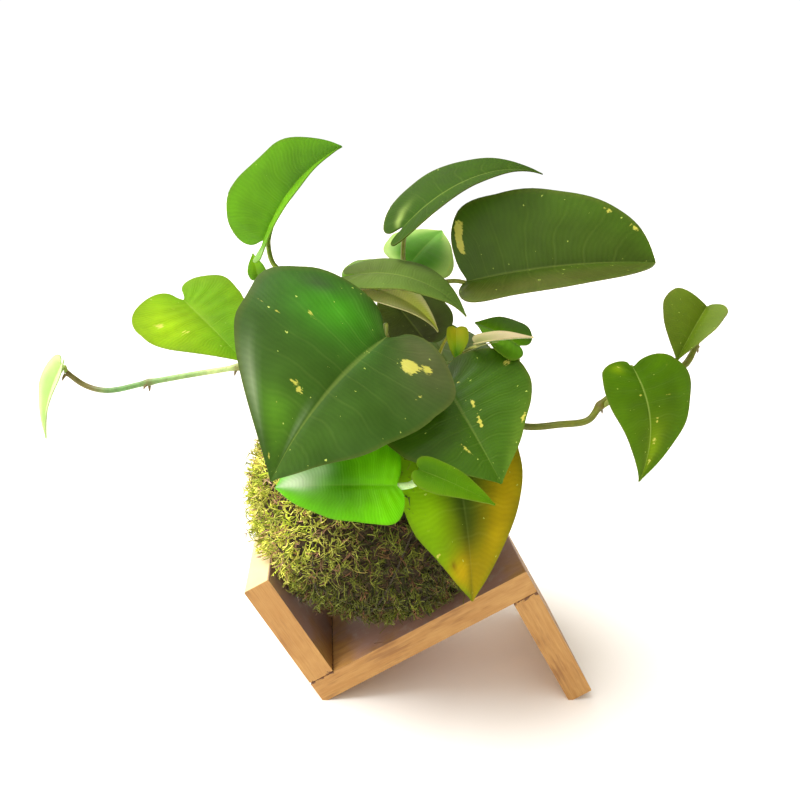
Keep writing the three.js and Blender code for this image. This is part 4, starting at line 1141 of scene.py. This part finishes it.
# Point on a blade's upper side: s from -1 to 1 across, t from 0 at the stalk to 1 at the tip. With relief it
# has the channel of the midrib, the quilting between the side veins and a rippled, wavering margin
def bladeMap(leaf, seed):
    base, face = Vector(leaf["base"]), Vector(leaf["face"])
    chord = Vector(leaf["tip"]) - base
    ey = chord.normalized()
    ez = (face - ey * face.dot(ey)).normalized()
    ex = ey.cross(ez)
    bend, curl = math.radians(leaf["bend"]), math.radians(leaf.get("curl", 0))
    steps = bladeShape["ribSteps"]
    arch = [(0.0, 0.0)]
    for i in range(steps):
        share = (i + 0.5) / steps
        angle = bend * share + curl * share**3
        arch.append((arch[-1][0] + math.cos(angle) / steps, arch[-1][1] - math.sin(angle) / steps))
    length = chord.length / math.hypot(*arch[-1])
    lean = math.atan2(arch[-1][1], arch[-1][0])
    fold, cup = math.radians(leaf["fold"]), math.radians(leaf["cup"])
    mean = (leaf["right"] + leaf["left"]) / 2
    size = min(mean / 20, 1)

    # Each half of each leaf has its own stretch of noise, by its side and the leaf's seed
    def place(s, t, relief=True):
        outward = abs(s)
        side = 1 if s > 0 else -1
        edge = outlinePoint(t, leaf["lobe"], leaf.get("full", 0))
        half = leaf["right"] if s > 0 else leaf["left"]
        reach = max(2 * half * edge[0], bladeShape["tipHalfWidth"]) * outward
        if relief:
            waver = noise.noise(Vector((t * bladeShape["waverScale"], side * 5.3, seed * 3.9)))
            reach *= 1 + bladeShape["waver"] * waver * outward**3
        rise = t**1.8  # along the midrib. From there each row arches out to its margin, as side veins do
        along = rise + (edge[1] - rise) * outward**1.5
        share = min(max(along, 0), 1)
        turn = fold - cup * reach / mean  # slope of the blade across, from its fold
        bow = leaf.get("bow", 0) * 4 * share * (1 - share)
        out = mean / cup * (math.sin(fold) - math.sin(turn)) * side + bow
        wave = leaf.get("wave", 0) * math.sin(5 * math.pi * along + side * 0.8) * outward**2 * (1 - share**4)
        up = mean / cup * (math.cos(turn) - math.cos(fold)) + wave
        if relief:
            body = min(4 * t, 1) * (1 - share) ** 0.5
            channel = math.exp(-(reach / bladeShape["ribWidth"]) ** 2)
            between = math.cos(2 * math.pi * leafSkin["veins"] * t) * outward * (1 - outward) * 4
            ripple = noise.noise(Vector((t * bladeShape["rippleScale"], side * 3.1, seed * 7.7))) * outward**3
            up -= (bladeShape["ribChannel"] * channel + bladeShape["quilt"] * between) * body * size
            up += bladeShape["ripple"] * ripple * size * 2 * min(3 * (1 - t), 1)
        spot = share * steps
        low = min(int(spot), steps - 1)
        ribAlong, ribUp = [arch[low][i] + (arch[low + 1][i] - arch[low][i]) * (spot - low) for i in (0, 1)]
        slope = bend * share + curl * share**3  # of the midrib, as it bends back
        y = (ribAlong + min(along, 0)) * length + up * math.sin(slope)
        z = ribUp * length + up * math.cos(slope)
        return base + ex * out + ey * (y * math.cos(lean) + z * math.sin(lean)) \
            + ez * (z * math.cos(lean) - y * math.sin(lean))

    return place


# Direction of a blade's upper side, taken a little inside its narrow ends
def bladeNormal(place, s, t):
    step = 0.02
    inside = min(max(t, 0.08), 0.88)
    acrossStep = place(min(s + step, 1), inside, False) - place(max(s - step, -1), inside, False)
    alongStep = place(s, inside + step, False) - place(s, inside - step, False)
    return acrossStep.cross(alongStep).normalized()


# Soft round area: 1 in its middle, 0 outside
def softSpot(s, t, spot):
    distance = ((s - spot[0]) / spot[2]) ** 2 + ((t - spot[1]) / spot[3]) ** 2
    return math.exp(-distance)


# A leaf's green at a point, with its soft areas, some of which are painted sheen, highlights, glow and shadow
def leafTint(leaf, s, t):
    base, tip, edge = [linear(h) for h in leaf["green"]]
    margin = smoothstep(leafSkin["marginFrom"], 1, abs(s)) * leafSkin["marginShare"]
    tint = mixed(mixed(base, tip, smoothstep(leafSkin["tipFrom"], 1, t)), edge, margin)
    for blot in leaf.get("tonesAndPaintedLight", ()):
        tint = mixed(tint, linear(blot[4]), min(softSpot(s, t, blot) * blot[5], 1))
    rim = smoothstep(leafSkin["rimFrom"], 1, abs(s)) * leafSkin["rimShare"]
    return mixed(tint, linear(leafSkin["rim"]), rim)


# A leaf's marks at a point: how yellow, how speckled, how pale along the midrib
def leafMarks(leaf, s, t):
    yellow = sum(softSpot(s, t, spot) * spot[4] for spot in leaf.get("streaks", ()))
    return [min(yellow, 1.0), leaf.get("specks", 0), leaf.get("rib", 0.35), 1.0]


# Leaf: a blade with both its sides and a stalk, in one mesh
def makeLeaf(name, leaf, seed):
    place = bladeMap(leaf, seed)
    small = leaf.get("small", False)
    across, along = bladeShape["smallGrid"] if small else bladeShape["grid"]
    bm = bmesh.new()
    uvLayer = bm.loops.layers.uv.new("blade")
    tintLayer = bm.verts.layers.float_color.new("tint")
    marksLayer = bm.verts.layers.float_color.new("marks")
    bmesh.ops.create_grid(bm, x_segments=across, y_segments=along, size=1)
    shares = {}
    for vert in bm.verts:
        s = math.copysign(abs(vert.co.x) ** bladeShape["edgeCrowding"], vert.co.x)
        t = (vert.co.y + 1) / 2
        shares[vert] = (s, t)
        vert[tintLayer] = leafTint(leaf, s, t)
        vert[marksLayer] = leafMarks(leaf, s, t)
    for face in bm.faces:
        for loop in face.loops:
            s, t = shares[loop.vert]
            loop[uvLayer].uv = (0.5 + 0.5 * s, t)
    for vert, (s, t) in shares.items():
        vert.co = place(s, t)
    bmesh.ops.recalc_face_normals(bm, faces=bm.faces)
    if bm.faces[len(bm.faces) // 2].normal.dot(bladeNormal(place, 0.1, 0.5)) < 0:
        bmesh.ops.reverse_faces(bm, faces=bm.faces)

    # Wall: the underside is a copy pushed down, joined along the margin
    upper = bm.faces[:]
    lower = bmesh.ops.duplicate(bm, geom=upper)
    vertPairs = lower["vert_map"]
    lowerFaces = [g for g in lower["geom"] if isinstance(g, bmesh.types.BMFace)]
    lowerEdges = [g for g in lower["geom"] if isinstance(g, bmesh.types.BMEdge) and g.is_boundary]
    for vert, (s, t) in shares.items():
        twin = vertPairs[vert]
        twin.co = vert.co - bladeNormal(place, s, t) * bladeShape["thickness"]
    for face in lowerFaces:
        face.material_index = 1
    bmesh.ops.reverse_faces(bm, faces=lowerFaces)
    upperEdges = [e for f in upper for e in f.edges if e.is_boundary]
    bmesh.ops.bridge_loops(bm, edges=list(set(upperEdges)) + lowerEdges)

    # Stalk: from inside its vine into the underside, where it runs on as the raised midrib
    radius = leaf.get("stem", bladeShape["smallStalkRadius"] if small else bladeShape["stalkRadius"])
    under = []
    for t in (bladeShape["stalkEnd"], *bladeShape["underRib"]):
        depth = bladeShape["thickness"] + bladeShape["ribChannel"] + radius * 0.75 * (1 - t)
        under.append(place(0, t, False) - bladeNormal(place, 0, t) * depth)
    path = smoothPath([*leaf["stalk"], *under], bladeShape["stalkSteps"])
    split = len(leaf["stalk"]) / (len(leaf["stalk"]) + len(bladeShape["underRib"]))
    green = linear(leaf["green"][0])
    ripe = linear(leaf.get("stemGreen", bladeShape["stalkTint"]))
    stemTint = mixed(green, ripe, bladeShape["stalkTintShare"])

    def thickness(share):
        foot, neck = bladeShape["stalkFoot"], bladeShape["stalkNeck"]
        if share < split:
            return radius * (foot - (foot - neck) * smoothstep(0, 0.5, share / split))
        return radius * neck * (1 - (1 - bladeShape["underRibEnd"]) * smoothstep(split, 1, share))

    growTube(bm, path, thickness, lambda share: mixed(stemTint, green, share), bladeShape["stalkSides"], 2)
    skins = [mattBlade if leaf.get("matt") else glossyBlade, bladeBack, stemSkin]
    addPiece(name.replace("_", "") + "Blade", meshFrom(name, bm), skins, [name])


for count, (name, leaf) in enumerate(leaves.items()):
    makeLeaf(name, leaf, count)

print("vines")
stemJoint = {
    "near": 1.5, "swell": 0.38, "width": 1.8, "ring": "6b5a2c", "ringShare": 0.6, "nubLength": 1.5,
    "nubRadius": 0.7, "nubTaper": 0.7,
}
stemShape = {"steps": 14, "sides": 12, "slim": 0.96, "thinFrom": 0.94, "thinning": 0.25}

# path, radius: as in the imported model. slim: how far the stem fills that radius. knots: bare joints.
# changes: where it turns another green
vines = {
    "vine_front": {"radius": 1.8, "green": "6f8430", "path": [
        (20, -10, 126), (19, -11, 148), (19, -15, 160), (22, -23, 166), (29, -31, 160), (34, -41, 146),
        (33, -51, 130), (30, -56, 121)]},
    "vine_middle": {"radius": 1.6, "green": "8a9440", "path": [
        (10, -6, 126), (9, -8, 146), (6, -13, 160), (3, -18, 170)]},
    "vine_left": {
        "radius": 1.6, "slim": 0.72, "green": "a4bc5c", "knots": [(-43, -22, 152), (-78, -20, 143)],
        "changes": [(0.5, "b9cf84"), (0.56, "86a860"), (0.74, "5c8a48"), (0.86, "75703a")], "path": [
        (9, 3, 126), (7, 3, 146), (-4, -2, 155), (-22, -14, 156), (-43, -22, 152), (-60, -22, 148),
        (-78, -20, 143), (-95, -18, 138), (-104, -16, 139), (-111, -16, 144)]},
    "vine_upper": {"radius": 1.6, "green": "8a9a40", "path": [
        (12, 10, 126), (10, 10, 148), (3, 8, 164), (-8, 6, 178), (-17, 4, 184)]},
    "vine_top": {"radius": 1.8, "green": "7f8f3c", "path": [
        (22, 10, 126), (23, 11, 150), (25, 9, 172), (27, 7, 186)]},
    "vine_back": {"radius": 1.7, "green": "7f8f3c", "path": [
        (27, 8, 126), (28, 11, 148), (32, 20, 160), (32, 36, 158), (30, 46, 148)]},
    "vine_right": {"radius": 1.6, "green": "667012", "path": [
        (30, -3, 126), (33, -4, 146), (40, -8, 153), (54, -14, 148), (67, -18, 136), (80, -20, 132),
        (94, -24, 135), (106, -25, 138), (111, -24, 145), (122, -22, 154), (137, -20, 160), (148, -18, 163),
        (153, -16, 172)]},
}


# Vine: a stem that swells and darkens at each joint, where it has one or two root nubs
def makeVine(name, vine, seed):
    draw = random.Random(seed)
    path = smoothPath(vine["path"], stemShape["steps"])
    steps = len(path) - 1
    lengths = [0.0]
    for a, b in zip(path, path[1:]):
        lengths.append(lengths[-1] + (b - a).length)

    def nearest(spot):
        return min(range(len(path)), key=lambda k: (path[k] - Vector(spot)).length)

    starts = [Vector(leaf["stalk"][0]) for leaf in leaves.values()]
    knots = [nearest(start) for start in starts if (path[nearest(start)] - start).length < stemJoint["near"]]
    knots += [nearest(spot) for spot in vine.get("knots", ())]
    brown = linear(stemJoint["ring"])
    stages = [(0, linear(vine["green"]))] + [(share, linear(h)) for share, h in vine.get("changes", ())]

    def nearKnot(share):
        here = lengths[round(share * steps)]
        return max([math.exp(-((here - lengths[k]) / stemJoint["width"]) ** 2) for k in knots] + [0.0])

    def thickness(share):
        end = 1 - stemShape["thinning"] * smoothstep(stemShape["thinFrom"], 1, share)
        slim = vine.get("slim", stemShape["slim"])
        return vine["radius"] * slim * (1 + stemJoint["swell"] * nearKnot(share)) * end

    def skin(share):
        tint = stages[0][1]
        for (low, _), (high, following) in zip(stages, stages[1:]):
            tint = mixed(tint, following, smoothstep(low, high, share))
        return mixed(tint, brown, stemJoint["ringShare"] * nearKnot(share))

    bm = bmesh.new()
    growTube(bm, path, thickness, skin, stemShape["sides"])
    for k in knots:
        for count in range(draw.randint(1, 2)):
            side = anyVector(draw, (-1, -1, -1.6), (1, 1, -0.3)).normalized()
            nub = [path[k] + side * vine["radius"] * 0.5, path[k] + side * (vine["radius"] + 1),
                   path[k] + side * (vine["radius"] + stemJoint["nubLength"]) + Vector((0, 0, -0.6))]
            growTube(bm, smoothPath(nub, 3),
                     lambda share: stemJoint["nubRadius"] * (1 - stemJoint["nubTaper"] * share),
                     lambda share: brown, 7)
    addPiece(name.replace("_", "") + "Stem", meshFrom(name, bm), [stemSkin], [name])


for count, (name, vine) in enumerate(vines.items()):
    makeVine(name, vine, count)
